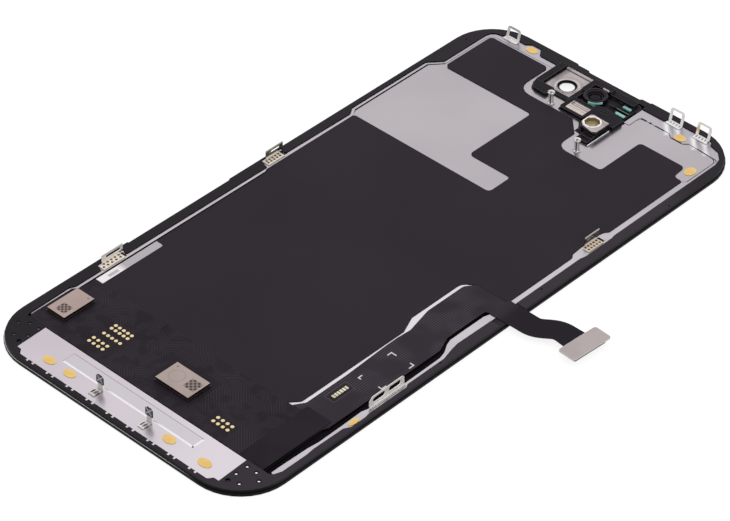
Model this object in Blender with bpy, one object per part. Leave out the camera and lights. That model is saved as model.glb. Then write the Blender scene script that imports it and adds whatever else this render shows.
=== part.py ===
"""Phone display module, lying with its cover glass down, so its back is up.

+Z is up out of the back, +Y runs along the length to the earpiece end, +X points to the side
that the flex tail leaves by. The origin is the centre of the glass's front face, which is the
face that the module lies on. All values below are millimetres.
"""

import math

import bmesh
import bpy
from mathutils import Matrix, Vector
from mathutils.geometry import delaunay_2d_cdt

MM = 0.001
NGONS_WITHOUT_HOLES = 5

# Cover glass
GLASS_WIDTH = 69.1
GLASS_LENGTH = 144.6
GLASS_CORNER = 11.0
GLASS_THICKNESS = 0.65
GLASS_EDGE_ROUND = 0.16
W = GLASS_WIDTH / 2
L = GLASS_LENGTH / 2

# Speaker notch in the top edge: a wide shallow step and a deeper slot inside it
NOTCH_STEP = (-9.8, 9.8)
NOTCH_STEP_DEPTH = 0.55
NOTCH_SLOT = (-6.6, 7.6)
NOTCH_DEPTH = 1.0
NOTCH_FIT = 0.08

# Layers above the glass, and the adhesive line between two layers
ADHESIVE = 0.03
PANEL_THICKNESS = 0.35
PANEL_BORDER = 2.0
PLATE_THICKNESS = 0.15
FILM_THICKNESS = 0.10
FLEX_THICKNESS = 0.16
FLEX_FIT = 0.15
TAPE_THICKNESS = 0.06
FRAME_ABOVE_PLATE = 0.21
FRAME_INSET = 0.25
FRAME_EDGE_ROUND = 0.12
FRAME_FIT = 0.12

PANEL_BOTTOM = GLASS_THICKNESS + ADHESIVE
PANEL_TOP = PANEL_BOTTOM + PANEL_THICKNESS
PLATE_BOTTOM = PANEL_TOP + ADHESIVE
PLATE_TOP = PLATE_BOTTOM + PLATE_THICKNESS
SHEET_BOTTOM = PLATE_TOP + ADHESIVE
FILM_TOP = SHEET_BOTTOM + FILM_THICKNESS
FLEX_TOP = SHEET_BOTTOM + FLEX_THICKNESS
FRAME_TOP = PLATE_TOP + FRAME_ABOVE_PLATE

# Stamped steel rail that the spring clips are welded to
RAIL_WIDTH = 0.55
RAIL_STEP_OUT = 1.55
RAIL_SIDE_INSET = 2.65
RAIL_LOW_INSET = 3.0
RAIL_CORNER_INSET = 4.1
RAIL_TOP_INSET = 3.7
RAIL_RIGHT_INSET = 2.6
RAIL_LEG_LEFT = 9.75
RAIL_LEG_WIDTH = 1.35
RAIL_LEG_FROM_TOP = 9.2
SEAM = 0.12
CLIP_SHEET = 0.15

# Side clips: each tab's middle and length along the edge, and the same for its welded foot
CLIP_HEIGHT = 1.85
CLIP_BEND = 0.25
CLIP_HOLE_RADIUS = 0.2
CLIP_HOLES = 5
LEFT_CLIP_Y = 0.0837 * L
LEFT_CLIP_LENGTH = 4.8
LEFT_FOOT_Y = 0.0657 * L
LEFT_FOOT_LENGTH = 4.5
LOW_CLIP_Y = -0.5429 * L
LOW_CLIP_LENGTH = 5.5
LOW_FOOT_Y = -0.5574 * L
LOW_FOOT_LENGTH = 5.6
RIGHT_CLIP_Y = 0.4025 * L
RIGHT_CLIP_LENGTH = 4.2
RIGHT_FOOT_Y = 0.3873 * L
RIGHT_FOOT_LENGTH = 4.3

# Hoop clips along the top edge
HOOP_WIDTH = 3.5
HOOP_LEG = 0.6
HOOP_BAR = 0.45
HOOP_SHEET = 0.18
HOOP_PAD = 1.15
HOOP_LEAN = math.radians(13)
# The shelves of the rail that carry the hoops start here
SHELF_LEFT = -0.8046 * W
SHELF_RIGHT = 0.4486 * W
SHELF_END = W - 7.85
# Each hoop's middle, its distance from the top edge and its height
HOOP_PLACES = {
    "left": (SHELF_LEFT + 2.2, 2.95, 2.6),
    "middle": (SHELF_RIGHT + 2.1, 2.2, 3.2),
    "right": (SHELF_END - 2.1, 2.2, 3.2),
}

# Loop bracket beside the flex
LOOP_LENGTH = 9.4
LOOP_HEIGHT = 2.4
LOOP_Y = -0.4467 * L
LOOP_INSET = 2.25
LOOP_WINDOW_LENGTH = 3.3
LOOP_WINDOW_HEIGHT = 1.15
LOOP_WINDOW_RISE = 1.4
LOOP_FOOT = 0.55
LOOP_WINDOW_PITCH = 4.3

# Camera and sensor cluster, placed from the camera's axis
CAMERA_X = -6.45
CAMERA_FROM_TOP = 7.9
CAMERA_RADIUS = 2.0
CAMERA_RING = 0.4
CAMERA_Y = L - CAMERA_FROM_TOP
BAY_TOP = L - 2.2
BAY_RIGHT = 9.55
BAY_LEFT = -12.85
HOLDER_FIT = 0.15
CUP_X = 0.45
CUP_Y = L - 7.1
CUP_RADIUS = 2.6
PROJECTOR_X = 6.4
PROJECTOR_Y = L - 15.3
PROJECTOR_RADIUS = 1.7
PROJECTOR_HEIGHT = 1.65
PROJECTOR_DEPTH = 0.85
WINDOW_LEDGE = 0.6
FLANGE_HEIGHT = 0.28
FLANGE_THICKNESS = 0.16
POST_HEIGHT = 2.85
POST_RADIUS = 0.5
POST_FLARE = 0.75
POST_BORE = 0.3

# Driver board across the lower end, above the bottom plate
BOTTOM_PLATE_FROM_BOTTOM = 1.4
BOTTOM_PLATE_DEPTH = 8.35
BOARD_GAP = 0.2
BOARD_LENGTH = 16.2
BOARD_LOW = -L + BOTTOM_PLATE_FROM_BOTTOM + BOTTOM_PLATE_DEPTH + BOARD_GAP
BOARD_HIGH = BOARD_LOW + BOARD_LENGTH
CHIP_HEIGHT = 0.95
CHIP_EDGE_ROUND = 0.08
PAD_RADIUS = 0.39
PAD_PITCH = 1.08
PAD_HEIGHT = 0.06
STRIP_PADS = 6
STRIP_PITCH = 0.69

# Flex tail and its connector
TAIL_WIDTH = 5.5
TAIL_START_Y = 1.4
FLEX_END_Y = 3.3
TAIL_END_Y = 4.1
TAIL_STRAIGHT_TO = W + 3.05
TAIL_BEND_LENGTH = 6.9
STIFFENER_WIDTH = 4.25
STIFFENER_LENGTH = 10.2
STIFFENER_THICKNESS = 0.22
STIFFENER_TURN = math.radians(-3.6)
STIFFENER_CENTRE = (TAIL_STRAIGHT_TO + TAIL_BEND_LENGTH + 4.6, 4.2)
CONNECTOR_WIDTH = 3.1
CONNECTOR_LENGTH = 8.3
CONNECTOR_HEIGHT = 0.75

# Bottom plate with its two contact springs
BOTTOM_PLATE_LEFT = 7.8
BOTTOM_PLATE_RIGHT = 8.45
BOTTOM_PLATE_THICKNESS = 0.27
NUB_WIDTH = 0.45
NUB_LENGTH = 0.5
NUB_PAIR = 1.5
NUB_PAIRS = 9
NUB_END_MARGIN = 5.1
WING_THICKNESS = 0.12
RAISED_FROM_TOP = 2.85
RAISED_DEPTH = 2.8
EMBOSS_HEIGHT = 0.2
SPRING_HEAD_WIDTH = 1.9
SPRING_NECK_WIDTH = 1.3
SPRING_FOOT = (1.6, 2.3)
SPRING_NECK = 1.6
SPRING_HEAD = 1.95
SPRING_CHAMFER = 0.45
SPRING_XS = (-0.1954 * W, 0.178 * W)
SPRING_OFFSET = 0.2
SPRING_BACK = -L + 4.8
SPOT_THICKNESS = 0.04

BLACK_PLASTIC = ("black_plastic", (0.026, 0.024, 0.026), 0.55, 0.0)
BLACK_FILM = ("graphite_film", (0.036, 0.030, 0.034), 0.62, 0.0)
BLACK_FLEX = ("black_flex", (0.030, 0.025, 0.028), 0.5, 0.0)
BLACK_TAPE = ("black_tape", (0.022, 0.019, 0.023), 0.6, 0.0)
PLAIN_STEEL = ("plain_steel", (0.52, 0.50, 0.52), 0.36, 0.9)
BRIGHT_STEEL = ("bright_steel", (0.72, 0.70, 0.68), 0.25, 1.0)
SHIELD_METAL = ("shield_metal", (0.46, 0.42, 0.40), 0.42, 0.8)
GOLD = ("gold_plating", (0.80, 0.52, 0.10), 0.4, 0.7)
COVER_GLASS = ("cover_glass", (0.006, 0.006, 0.008), 0.05, 0.0)
PANEL_BLACK = ("panel_black", (0.010, 0.009, 0.011), 0.4, 0.0)
LENS_GLASS = ("lens_glass", (0.03, 0.02, 0.03), 0.08, 0.0)
BROWN_GLASS = ("brown_glass", (0.26, 0.20, 0.10), 0.12, 0.3)
TEAL_FLEX = ("teal_flex", (0.16, 0.52, 0.46), 0.4, 0.0)
CONNECTOR_BLACK = ("connector_black", (0.02, 0.02, 0.02), 0.5, 0.0)


def across(share):
    """A place across the module, as a share of the way from the middle to the right edge."""
    return share * W


def along(share):
    """A place along the module, as a share of the way from the middle to the top edge."""
    return share * L


def material_of(spec):
    """The material of that name, made the first time that it is asked for."""
    name, colour, roughness, metallic = spec
    found = bpy.data.materials.get(name)
    if found:
        return found
    made = bpy.data.materials.new(name)
    made.use_nodes = True
    shader = made.node_tree.nodes["Principled BSDF"]
    shader.inputs["Base Color"].default_value = (*colour, 1)
    shader.inputs["Roughness"].default_value = roughness
    shader.inputs["Metallic"].default_value = metallic
    made.diffuse_color = (*colour, 1)
    return made


def signed_area(outline):
    pairs = zip(outline, outline[1:] + outline[:1])
    return sum(a[0] * b[1] - b[0] * a[1] for a, b in pairs) / 2


def rounded(corners, quarter=4):
    """A closed outline through corners given as (x, y) or (x, y, radius), the radius as an arc."""
    outline = []
    count = len(corners)
    for i, corner in enumerate(corners):
        here = Vector(corner[:2])
        radius = corner[2] if len(corner) > 2 else 0
        before = (Vector(corners[i - 1][:2]) - here).normalized()
        after = (Vector(corners[(i + 1) % count][:2]) - here).normalized()
        between = before.angle(after)
        if radius <= 0 or between > math.radians(178):
            outline.append(tuple(here))
            continue
        reach = radius / math.tan(between / 2)
        centre = here + (before + after).normalized() * (radius / math.sin(between / 2))
        start = here + before * reach - centre
        turn = math.pi - between
        if before.cross(after) > 0:
            turn = -turn
        steps = max(2, round(quarter * abs(turn) / (math.pi / 2)))
        for step in range(steps + 1):
            outline.append(tuple(centre + Matrix.Rotation(turn * step / steps, 2) @ start))
    return outline


def rectangle(x0, x1, y0, y1, radius=0.0, quarter=4):
    corners = [(x0, y0), (x1, y0), (x1, y1), (x0, y1)]
    return rounded([(x, y, radius) for x, y in corners], quarter)


def ellipse(x, y, rx, ry, steps=20):
    angles = [2 * math.pi * i / steps for i in range(steps)]
    return [(x + rx * math.cos(a), y + ry * math.sin(a)) for a in angles]


def slot(x, y, length, height, quarter=3):
    """A round-ended slot, its length along the first axis."""
    radius = height / 2 - 0.001
    return rectangle(x - length / 2, x + length / 2, y - height / 2, y + height / 2, radius, quarter)


def moved_path(path, distance):
    """An open path moved sideways, to its left where the distance is positive."""
    ends = [Vector(p[:2]) for p in path]
    sides = []
    for a, b in zip(ends, ends[1:]):
        along = (b - a).normalized()
        sides.append(Vector((-along.y, along.x)))
    moved = []
    for i, corner in enumerate(path):
        first = sides[max(i - 1, 0)]
        second = sides[min(i, len(sides) - 1)]
        middle = (first + second).normalized()
        place = ends[i] + middle * (distance / max(middle.dot(second), 0.3))
        moved.append((place.x, place.y, *corner[2:]))
    return moved


def grown(outline, distance):
    """A closed outline moved outwards by a distance, or inwards where that is negative."""
    ring = outline if signed_area(outline) > 0 else outline[::-1]
    looped = [ring[-1], *ring, ring[0]]
    return [tuple(p[:2]) for p in moved_path(looped, -distance)[1:-1]]


def link(name, mesh, spec):
    made = bpy.data.objects.new(name, mesh)
    mesh.materials.append(material_of(spec))
    bpy.context.scene.collection.objects.link(made)
    return made


def prism(name, outline, low, high, spec, holes=(), axis="Z", rim=0.0):
    """A flat piece: an outline with holes, from one level to another along an axis.

    Along Z the outline is (x, y), along X it is (y, z), and along Y it is (z, x). The outer
    edge of a Z prism's top face is rounded by rim.
    """
    turned = {"Z": lambda u, v, w: (u, v, w), "X": lambda u, v, w: (w, u, v), "Y": lambda u, v, w: (v, w, u)}
    place = turned[axis]
    points = []
    loops = []
    for loop in (outline, *holes):
        loops.append([len(points) + i for i in range(len(loop))])
        points += [Vector(point) for point in loop]
    filled = delaunay_2d_cdt(points, [], loops, NGONS_WITHOUT_HOLES, 1e-5)
    mesh = bmesh.new()
    corners = [mesh.verts.new(Vector(place(p.x, p.y, low)) * MM) for p in filled[0]]
    for face in filled[2]:
        if len(set(face)) == len(face):
            mesh.faces.new([corners[i] for i in face])
    raised = bmesh.ops.extrude_face_region(mesh, geom=mesh.faces[:])["geom"]
    lifted = [part for part in raised if isinstance(part, bmesh.types.BMVert)]
    bmesh.ops.translate(mesh, verts=lifted, vec=Vector(place(0, 0, high - low)) * MM)
    bmesh.ops.recalc_face_normals(mesh, faces=mesh.faces[:])
    if rim:
        places = {(round(u, 3), round(v, 3)) for u, v in outline}
        edge = []
        for line in mesh.edges:
            ends = [tuple(corner.co / MM) for corner in line.verts]
            on_top = all(abs(end[2] - high) < 1e-3 for end in ends)
            outside = all((round(end[0], 3), round(end[1], 3)) in places for end in ends)
            if on_top and outside and line.calc_face_angle(0) > 1:
                edge.append(line)
        bmesh.ops.bevel(mesh, geom=edge, offset=rim * MM, segments=2, profile=0.5, affect="EDGES")
    data = bpy.data.meshes.new(name)
    mesh.to_mesh(data)
    mesh.free()
    return link(name, data, spec)


def turned_piece(name, x, y, profile, spec, segments=20):
    """A turned piece from its (radius, z) profile, walked up the outside from the axis."""
    mesh = bmesh.new()
    rings = []
    for radius, z in profile:
        if radius <= 0:
            rings.append([mesh.verts.new(Vector((x, y, z)) * MM)])
            continue
        angles = [2 * math.pi * i / segments for i in range(segments)]
        points = [(x + radius * math.cos(a), y + radius * math.sin(a), z) for a in angles]
        rings.append([mesh.verts.new(Vector(p) * MM) for p in points])
    pairs = list(zip(rings, rings[1:]))
    if profile[0][0] > 0:
        pairs.append((rings[-1], rings[0]))
    for lower, upper in pairs:
        for i in range(segments):
            j = (i + 1) % segments
            corners = [lower[i % len(lower)], lower[j % len(lower)]]
            corners += [upper[j % len(upper)], upper[i % len(upper)]]
            mesh.faces.new(list(dict.fromkeys(corners)))
    data = bpy.data.meshes.new(name)
    mesh.to_mesh(data)
    mesh.free()
    data.shade_smooth()
    data.set_sharp_from_angle(angle=math.radians(35))
    return link(name, data, spec)


def combined(target, others, operation):
    """The target with the others joined to it or cut from it; the others are used up."""
    for other in others:
        change = target.modifiers.new(operation.lower(), "BOOLEAN")
        change.operation = operation
        change.solver = "EXACT"
        change.object = other
        graph = bpy.context.evaluated_depsgraph_get()
        result = bpy.data.meshes.new_from_object(target.evaluated_get(graph))
        target.modifiers.clear()
        target.data = result
        bpy.data.objects.remove(other)
    return target


def joined(target, *others):
    return combined(target, others, "UNION")


def cut(target, *others):
    return combined(target, others, "DIFFERENCE")


def soften(piece, width, segments=2, angle=50):
    """Rounds the piece's sharp edges."""
    bevel = piece.modifiers.new("edge_round", "BEVEL")
    bevel.width = width * MM
    bevel.segments = segments
    bevel.limit_method = "ANGLE"
    bevel.angle_limit = math.radians(angle)
    bevel.harden_normals = False
    return piece


def sheet_angle(x_foot, x_wall, low, height):
    """The (z, x) section of a strip of sheet that lies flat and then stands up at x_wall."""
    side = 1 if x_foot > x_wall else -1
    inner = CLIP_BEND
    outer = CLIP_BEND + CLIP_SHEET
    corners = [
        (low, x_foot),
        (low, x_wall, outer),
        (low + height, x_wall),
        (low + height, x_wall + side * CLIP_SHEET),
        (low + CLIP_SHEET, x_wall + side * CLIP_SHEET, inner),
        (low + CLIP_SHEET, x_foot),
    ]
    return rounded(corners, 3)


# Paths that several pieces share

def left_rail_outer():
    """The rail's outer edge, from its lower end up the left side and along the top."""
    clip_low = LOW_FOOT_Y - LOW_FOOT_LENGTH / 2
    clip_high = LOW_FOOT_Y + LOW_FOOT_LENGTH / 2
    left_low = LEFT_FOOT_Y - LEFT_FOOT_LENGTH / 2
    left_high = LEFT_FOOT_Y + LEFT_FOOT_LENGTH / 2
    low = -W + RAIL_LOW_INSET
    side = -W + RAIL_SIDE_INSET
    step = -W + RAIL_STEP_OUT
    corner = -W + RAIL_CORNER_INSET
    band = L - RAIL_TOP_INSET
    return [
        (low - 0.4, -L + 10.8),
        (low - 0.6, -L + 20.8),
        (low, -L + 22.2),
        (low, clip_low - 0.4),
        (-W + 1.3, clip_low + 0.2, 0.2),
        (-W + 1.3, clip_high + 1.2, 0.2),
        (low - 0.15, clip_high + 0.4, 0.4),
        (low, left_low - 0.7),
        (-W + 0.68, left_low + 0.2, 0.2),
        (-W + 0.68, left_high + 1.2, 0.2),
        (side - 0.2, left_high + 0.3, 0.4),
        (side, along(0.3651)),
        (step, along(0.3651) + 1.7),
        (step, along(0.6971)),
        (corner, along(0.6971) + 3.0),
        (corner, band - 0.1, 2.2),
        (SHELF_LEFT, band - 0.1),
        (SHELF_LEFT + 0.3, band + 0.9),
        (SHELF_LEFT + 5.4, band + 0.9),
        (across(-0.6136), band + 1.9, 0.8),
        (across(-0.547), band + 1.9, 0.8),
        (across(-0.5094), band, 0.5),
        (BAY_LEFT, band),
    ]


def left_rail_inner():
    """The rail's inner edge, the other way: from the sensor end back down the left side."""
    low = -W + RAIL_LOW_INSET + RAIL_WIDTH
    side = -W + RAIL_SIDE_INSET + RAIL_WIDTH
    step = -W + RAIL_STEP_OUT + RAIL_WIDTH
    corner = -W + RAIL_CORNER_INSET + RAIL_WIDTH
    return [
        (BAY_LEFT, L - 4.95),
        (corner, L - 4.95, 1.6),
        (corner, along(0.6971) + 2.75),
        (step, along(0.6971) - 0.25),
        (step, along(0.3651) + 1.9),
        (side, along(0.3651) + 0.2),
        (side, LEFT_FOOT_Y - LEFT_FOOT_LENGTH / 2 - 1.1),
        (low, LEFT_FOOT_Y - LEFT_FOOT_LENGTH / 2 - 1.8),
        (low, -L + 22.1),
        (low - 0.7, -L + 20.7),
        (low - 0.75, -L + 10.8),
    ]


def right_rail_outer():
    """The right rail's outer edge, from the sensor end along the top and down the right side."""
    band = L - 3.25
    side = W - RAIL_RIGHT_INSET
    clip_low = RIGHT_FOOT_Y - RIGHT_FOOT_LENGTH / 2 + 0.5
    clip_high = RIGHT_CLIP_Y + RIGHT_CLIP_LENGTH / 2
    loop_low = LOOP_Y - LOOP_LENGTH / 2
    loop_high = LOOP_Y + LOOP_LENGTH / 2
    return [
        (RAIL_LEG_LEFT, band),
        (SHELF_RIGHT, band, 0.3),
        (SHELF_RIGHT + 0.3, band + 1.2, 0.3),
        (SHELF_END, band + 1.2, 0.4),
        (W - 7.15, band - 0.1, 0.6),
        (side, band - 0.1, 4.2),
        (side, clip_high + 1.9),
        (side + 0.2, clip_high + 1.2),
        (side + 0.2, clip_low - 2.0),
        (side - 0.1, clip_low - 3.2),
        (side - 0.1, along(-0.0415)),
        (side - 0.25, along(-0.1687)),
        (side + 0.05, along(-0.1936)),
        (side + 0.85, along(-0.2379)),
        (side + 0.85, loop_high + 0.5),
        (side + 1.3, loop_high - 0.4),
        (side + 1.3, loop_low - 1.2),
        (side + 1.5, loop_low - 2.4, 0.6),
        (side + 1.5, loop_low - 6.0, 0.6),
        (side + 0.75, loop_low - 7.4),
        (side + 0.65, along(-0.7192)),
        (side + 0.85, along(-0.7469)),
        (side + 0.8, -L + 12.0),
        (side + 0.2, -L + 10.4),
    ]


def right_rail_inner():
    """The right rail's inner edge, from its lower end back up to the sensor end."""
    side = W - RAIL_RIGHT_INSET
    strip = W - 3.85
    clip_low = RIGHT_FOOT_Y - RIGHT_FOOT_LENGTH / 2 + 0.5
    clip_high = RIGHT_CLIP_Y + RIGHT_CLIP_LENGTH / 2
    return [
        (side - 0.4, -L + 10.6),
        (side - 0.4, -L + 12.6),
        (side - 0.2, along(-0.7275)),
        (side + 0.1, along(-0.6916)),
        (side + 0.05, along(-0.6086)),
        (side - 0.05, along(-0.5339)),
        (side + 0.35, along(-0.5118)),
        (side + 0.3, along(-0.3596)),
        (side + 0.2, along(-0.2407)),
        (side - 0.3, along(-0.2158)),
        (side - 1.45, along(-0.1881)),
        (side - 1.9, along(-0.1687)),
        (side - 1.9, along(-0.0387)),
        (strip, along(-0.0083)),
        (strip, clip_low - 4.0),
        (strip - 0.65, clip_low - 3.1),
        (strip - 0.85, clip_low - 0.5),
        (strip - 0.85, clip_high + 0.4),
        (strip - 0.6, clip_high + 1.4),
        (strip, clip_high + 2.3),
        (strip, L - 16.4),
        (side - 0.55, L - 15.7),
        (side - 0.55, L - 6.2, 1.3),
        (across(0.6179) + 2.55, L - 5.65),
        (across(0.6179) + 1.55, L - 6.6, 0.6),
        (across(0.6179) - 1.45, L - 6.6, 0.6),
        (across(0.6179) - 2.55, L - 5.65),
        (RAIL_LEG_LEFT + RAIL_LEG_WIDTH, L - 5.65, 1.1),
        (RAIL_LEG_LEFT + RAIL_LEG_WIDTH, L - RAIL_LEG_FROM_TOP),
        (RAIL_LEG_LEFT, L - RAIL_LEG_FROM_TOP),
    ]


def nub_edge(y, reach, width):
    """The moulding nubs along the bottom plate's near edge, from right to left."""
    edge = []
    first = -W + BOTTOM_PLATE_LEFT + NUB_END_MARGIN
    pitch = (W - BOTTOM_PLATE_RIGHT - NUB_END_MARGIN - first) / (NUB_PAIRS - 1)
    for i in reversed(range(NUB_PAIRS)):
        for offset in (NUB_PAIR / 2, -NUB_PAIR / 2):
            right = first + i * pitch + offset + width / 2
            left = right - width
            edge += [(right, y), (right, y - reach), (left, y - reach), (left, y)]
    return edge


def bottom_plate_outline(gap=0.0):
    """The bottom plate's outline, clockwise from its upper left corner, grown by a gap."""
    low = -L + BOTTOM_PLATE_FROM_BOTTOM - gap
    high = -L + BOTTOM_PLATE_FROM_BOTTOM + BOTTOM_PLATE_DEPTH + gap
    left = -W + BOTTOM_PLATE_LEFT - gap
    right = W - BOTTOM_PLATE_RIGHT + gap
    return [
        (left, high),
        (right, high),
        (right + 0.25, low + 1.05),
        (right - 0.9, low + 1.05),
        (right - 1.7, low, 0.4),
        *nub_edge(low, NUB_LENGTH, NUB_WIDTH + 2 * gap),
        (left + 2.1, low, 0.4),
        (left + 1.2, low + 1.05),
        (left + 0.2, low + 1.05),
    ]


def holder_outline():
    """The footprint of the moulding that holds the camera and sensors, anticlockwise."""
    top = BAY_TOP - HOLDER_FIT
    right = BAY_RIGHT - HOLDER_FIT
    return [
        (-12.6, top, 0.4),
        (-12.6, L - 11.2, 0.8),
        (-11.3, L - 13.6, 1.5),
        (-7.4, L - 13.8, 0.3),
        (-7.4, L - 12.0, 0.3),
        (-2.95, L - 12.0, 0.3),
        (-2.95, L - 15.0, 0.6),
        (2.9, L - 15.0),
        (4.4, L - 17.0),
        (4.4, L - 18.2),
        (6.2, L - 18.5),
        (6.2, L - 20.5, 0.4),
        (right, L - 20.5, 0.4),
        (right, L - 13.3),
        (right + 0.65, L - 13.2, 0.3),
        (right + 0.65, L - 9.9, 0.4),
        (right, L - 9.5),
        (right, top, 1.3),
    ]


def glass_outline(inset=0.0, quarter=10):
    corner = GLASS_CORNER - inset
    return rectangle(-W + inset, W - inset, -L + inset, L - inset, corner, quarter)


def notch_outline(inset):
    """The speaker notch as a cutter that is open past the top edge."""
    far = L + 1
    step_low, step_high = NOTCH_STEP
    slot_low, slot_high = NOTCH_SLOT
    step = L - NOTCH_STEP_DEPTH - inset
    deep = L - NOTCH_DEPTH - inset
    return rounded([
        (step_low - inset, far),
        (step_low - inset, step, 0.3),
        (slot_low - inset, step, 0.3),
        (slot_low + 0.5 - inset, deep, 0.3),
        (slot_high - 0.5 + inset, deep, 0.3),
        (slot_high + inset, step, 0.3),
        (step_high + inset, step, 0.3),
        (step_high + inset, far),
    ], 3)


def cover_glass():
    glass = prism("cover_glass", glass_outline(), 0, GLASS_THICKNESS, COVER_GLASS)
    notch = notch_outline(0)
    cut(glass, prism("notch", notch, -1, GLASS_THICKNESS + 1, COVER_GLASS))
    return soften(glass, GLASS_EDGE_ROUND, 2)


def oled_panel():
    reach = CAMERA_RADIUS + 0.35
    camera = ellipse(CAMERA_X, CAMERA_Y, reach, reach, 24)
    sensors = slot(4.4, CAMERA_Y, 9.2, 4.6, 6)
    outline = glass_outline(PANEL_BORDER)
    return prism("oled_panel", outline, PANEL_BOTTOM, PANEL_TOP, PANEL_BLACK, [camera, sensors])


def frame_opening():
    """What shows through the moulded frame: the rails, the sensor bay and the bottom plate."""
    gap = FRAME_FIT
    left = moved_path(left_rail_outer(), gap)
    right = moved_path(right_rail_outer(), gap)
    plate = bottom_plate_outline(gap)
    sill = BOARD_LOW - FRAME_FIT
    return rounded(
        [
            *left,
            (-12.85, BAY_TOP),
            (BAY_RIGHT, BAY_TOP),
            *right,
            (W - 3.0, sill),
            (plate[1][0], sill),
            *plate[2:],
            (plate[0][0], sill),
            (-W + 2.7, sill),
        ],
        3,
    )


def corner_holes():
    """The small moulding holes in the two lower corners, as (x, y, radius)."""
    places = [(-4.8, 8.6, 0.3), (-7.1, 8.6, 0.3), (-2.9, 7.3, 0.3), (-7.2, 5.9, 0.3), (-4.95, 4.4, 0.3)]
    places.append((-7.1, 3.65, 0.38))
    right = [(W + x, -L + y, radius) for x, y, radius in places]
    left = [(-W - x, -L + y, radius) for x, y, radius in places]
    return left + right


def wing_outline(side, gap=0.0):
    """The bottom plate's wing that the moulding covers in one lower corner."""
    inner = W - BOTTOM_PLATE_RIGHT - 0.6
    outer = W - 2.35 + gap
    low = -L + 2.75 - gap
    high = -L + 9.4 + gap
    corners = [(inner, low), (outer - 5.6, low), (outer - 2.4, low + 1.4), (outer - 0.7, low + 3.1)]
    corners += [(outer, low + 4.9), (outer, high), (inner, high)]
    return [(side * x, y) for x, y in corners]


def moulded_frame():
    """The black frame round the module: a foot on the glass and a lip over the panel's edge."""
    outer = glass_outline(FRAME_INSET)
    pocket = glass_outline(PANEL_BORDER - FRAME_FIT)
    foot = prism("moulded_frame", outer, PANEL_BOTTOM, PLATE_BOTTOM, BLACK_PLASTIC, [pocket])
    opening = frame_opening()
    lip = prism("lip", outer, PLATE_BOTTOM - 0.02, FRAME_TOP, BLACK_PLASTIC, [opening], rim=FRAME_EDGE_ROUND)
    frame = joined(foot, lip)
    below = PANEL_BOTTOM - 1
    above = FRAME_TOP + 1
    step_low, step_high = along(-0.4716), along(-0.0913)
    step = [(-W - 1, step_low - 0.8), (-W + 0.6, step_low), (-W + 0.6, step_high), (-W - 1, step_high + 2.4)]
    tail_low = TAIL_START_Y - TAIL_WIDTH / 2
    notch = [(W - 2.9, tail_low - 1.5), (W + 1, tail_low - 1.5), (W + 1, tail_low + TAIL_WIDTH + 0.25)]
    notch.append((W - 2.9, tail_low + TAIL_WIDTH + 0.25))
    cut(
        frame,
        prism("side_step", step, below, above, BLACK_PLASTIC),
        prism("tail_notch", notch, SHEET_BOTTOM - ADHESIVE, above, BLACK_PLASTIC),
        prism("speaker_notch", notch_outline(NOTCH_FIT), below, above, BLACK_PLASTIC),
    )
    wing_top = PLATE_BOTTOM + WING_THICKNESS + ADHESIVE
    for side in (-1, 1):
        wing = wing_outline(side, FRAME_FIT)
        cut(frame, prism("wing_slot", wing, PLATE_BOTTOM - 0.05, wing_top, BLACK_PLASTIC))
    drills = [prism("drill", ellipse(x, y, r, r, 8), wing_top - 0.05, above, BLACK_PLASTIC)
              for x, y, r in corner_holes()]
    dots = [(-W + 2.15, L - 10.0), (W - 0.75, L - 24.3), (W - 1.9, along(0.1508)), (W - 1.3, along(-0.2573))]
    drills += [prism("dot", ellipse(x, y, 0.24, 0.24, 6), FRAME_TOP - 0.2, above, BLACK_PLASTIC)
               for x, y in dots]
    return cut(frame, *drills)


def edge_rails():
    left = rounded(left_rail_outer() + left_rail_inner(), 3)
    prism("edge_rail_left", left, PLATE_BOTTOM, PLATE_TOP, PLAIN_STEEL)
    right = rounded(right_rail_outer() + right_rail_inner(), 3)
    prism("edge_rail_right", right, PLATE_BOTTOM, PLATE_TOP, PLAIN_STEEL)


def back_plate():
    """The steel sheet under the graphite, open round the sensor holder."""
    holder = moved_path(holder_outline(), -HOLDER_FIT)
    low = -W + RAIL_LOW_INSET + RAIL_WIDTH + 0.45
    side = -W + RAIL_SIDE_INSET + RAIL_WIDTH + 0.2
    step = -W + RAIL_STEP_OUT + RAIL_WIDTH + 0.42
    corner = -W + RAIL_CORNER_INSET + RAIL_WIDTH + SEAM
    band = L - 4.95 - SEAM
    seam = moved_path(right_rail_inner()[20:], SEAM)[::-1]
    clip_y = LEFT_FOOT_Y - LEFT_FOOT_LENGTH / 2 + 1.3
    outline = [
        (low, BOARD_LOW),
        (low, clip_y - 3.2),
        (side, clip_y - 2.5),
        (side, along(0.3651) - 0.1),
        (step, along(0.3651) + 1.6),
        (step, along(0.6971) - 0.3),
        (corner, along(0.6971) + 2.4),
        (corner, band, 1.5),
        (-12.6 - HOLDER_FIT, band),
        *holder[1:15],
        (holder[14][0], seam[0][1]),
        *seam[1:-1],
        (W - 4.0, L - 16.4),
        (W - 5.0, L - 16.9),
        (W - 5.0, 3.4),
        (W - 5.45, 2.6),
        (W - 5.45, along(-0.1743)),
        (W - 4.1, along(-0.2268)),
        (W - 4.1, BOARD_LOW),
    ]
    plate = prism("back_plate", rounded(outline, 3), PLATE_BOTTOM, PLATE_TOP, PLAIN_STEEL)
    edge = BAY_RIGHT
    flange = rectangle(edge, edge + FLANGE_THICKNESS, L - 20.6, L - 13.8)
    return joined(plate, prism("flange", flange, PLATE_BOTTOM + 0.02, PLATE_TOP + FLANGE_HEIGHT, PLAIN_STEEL))


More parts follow.
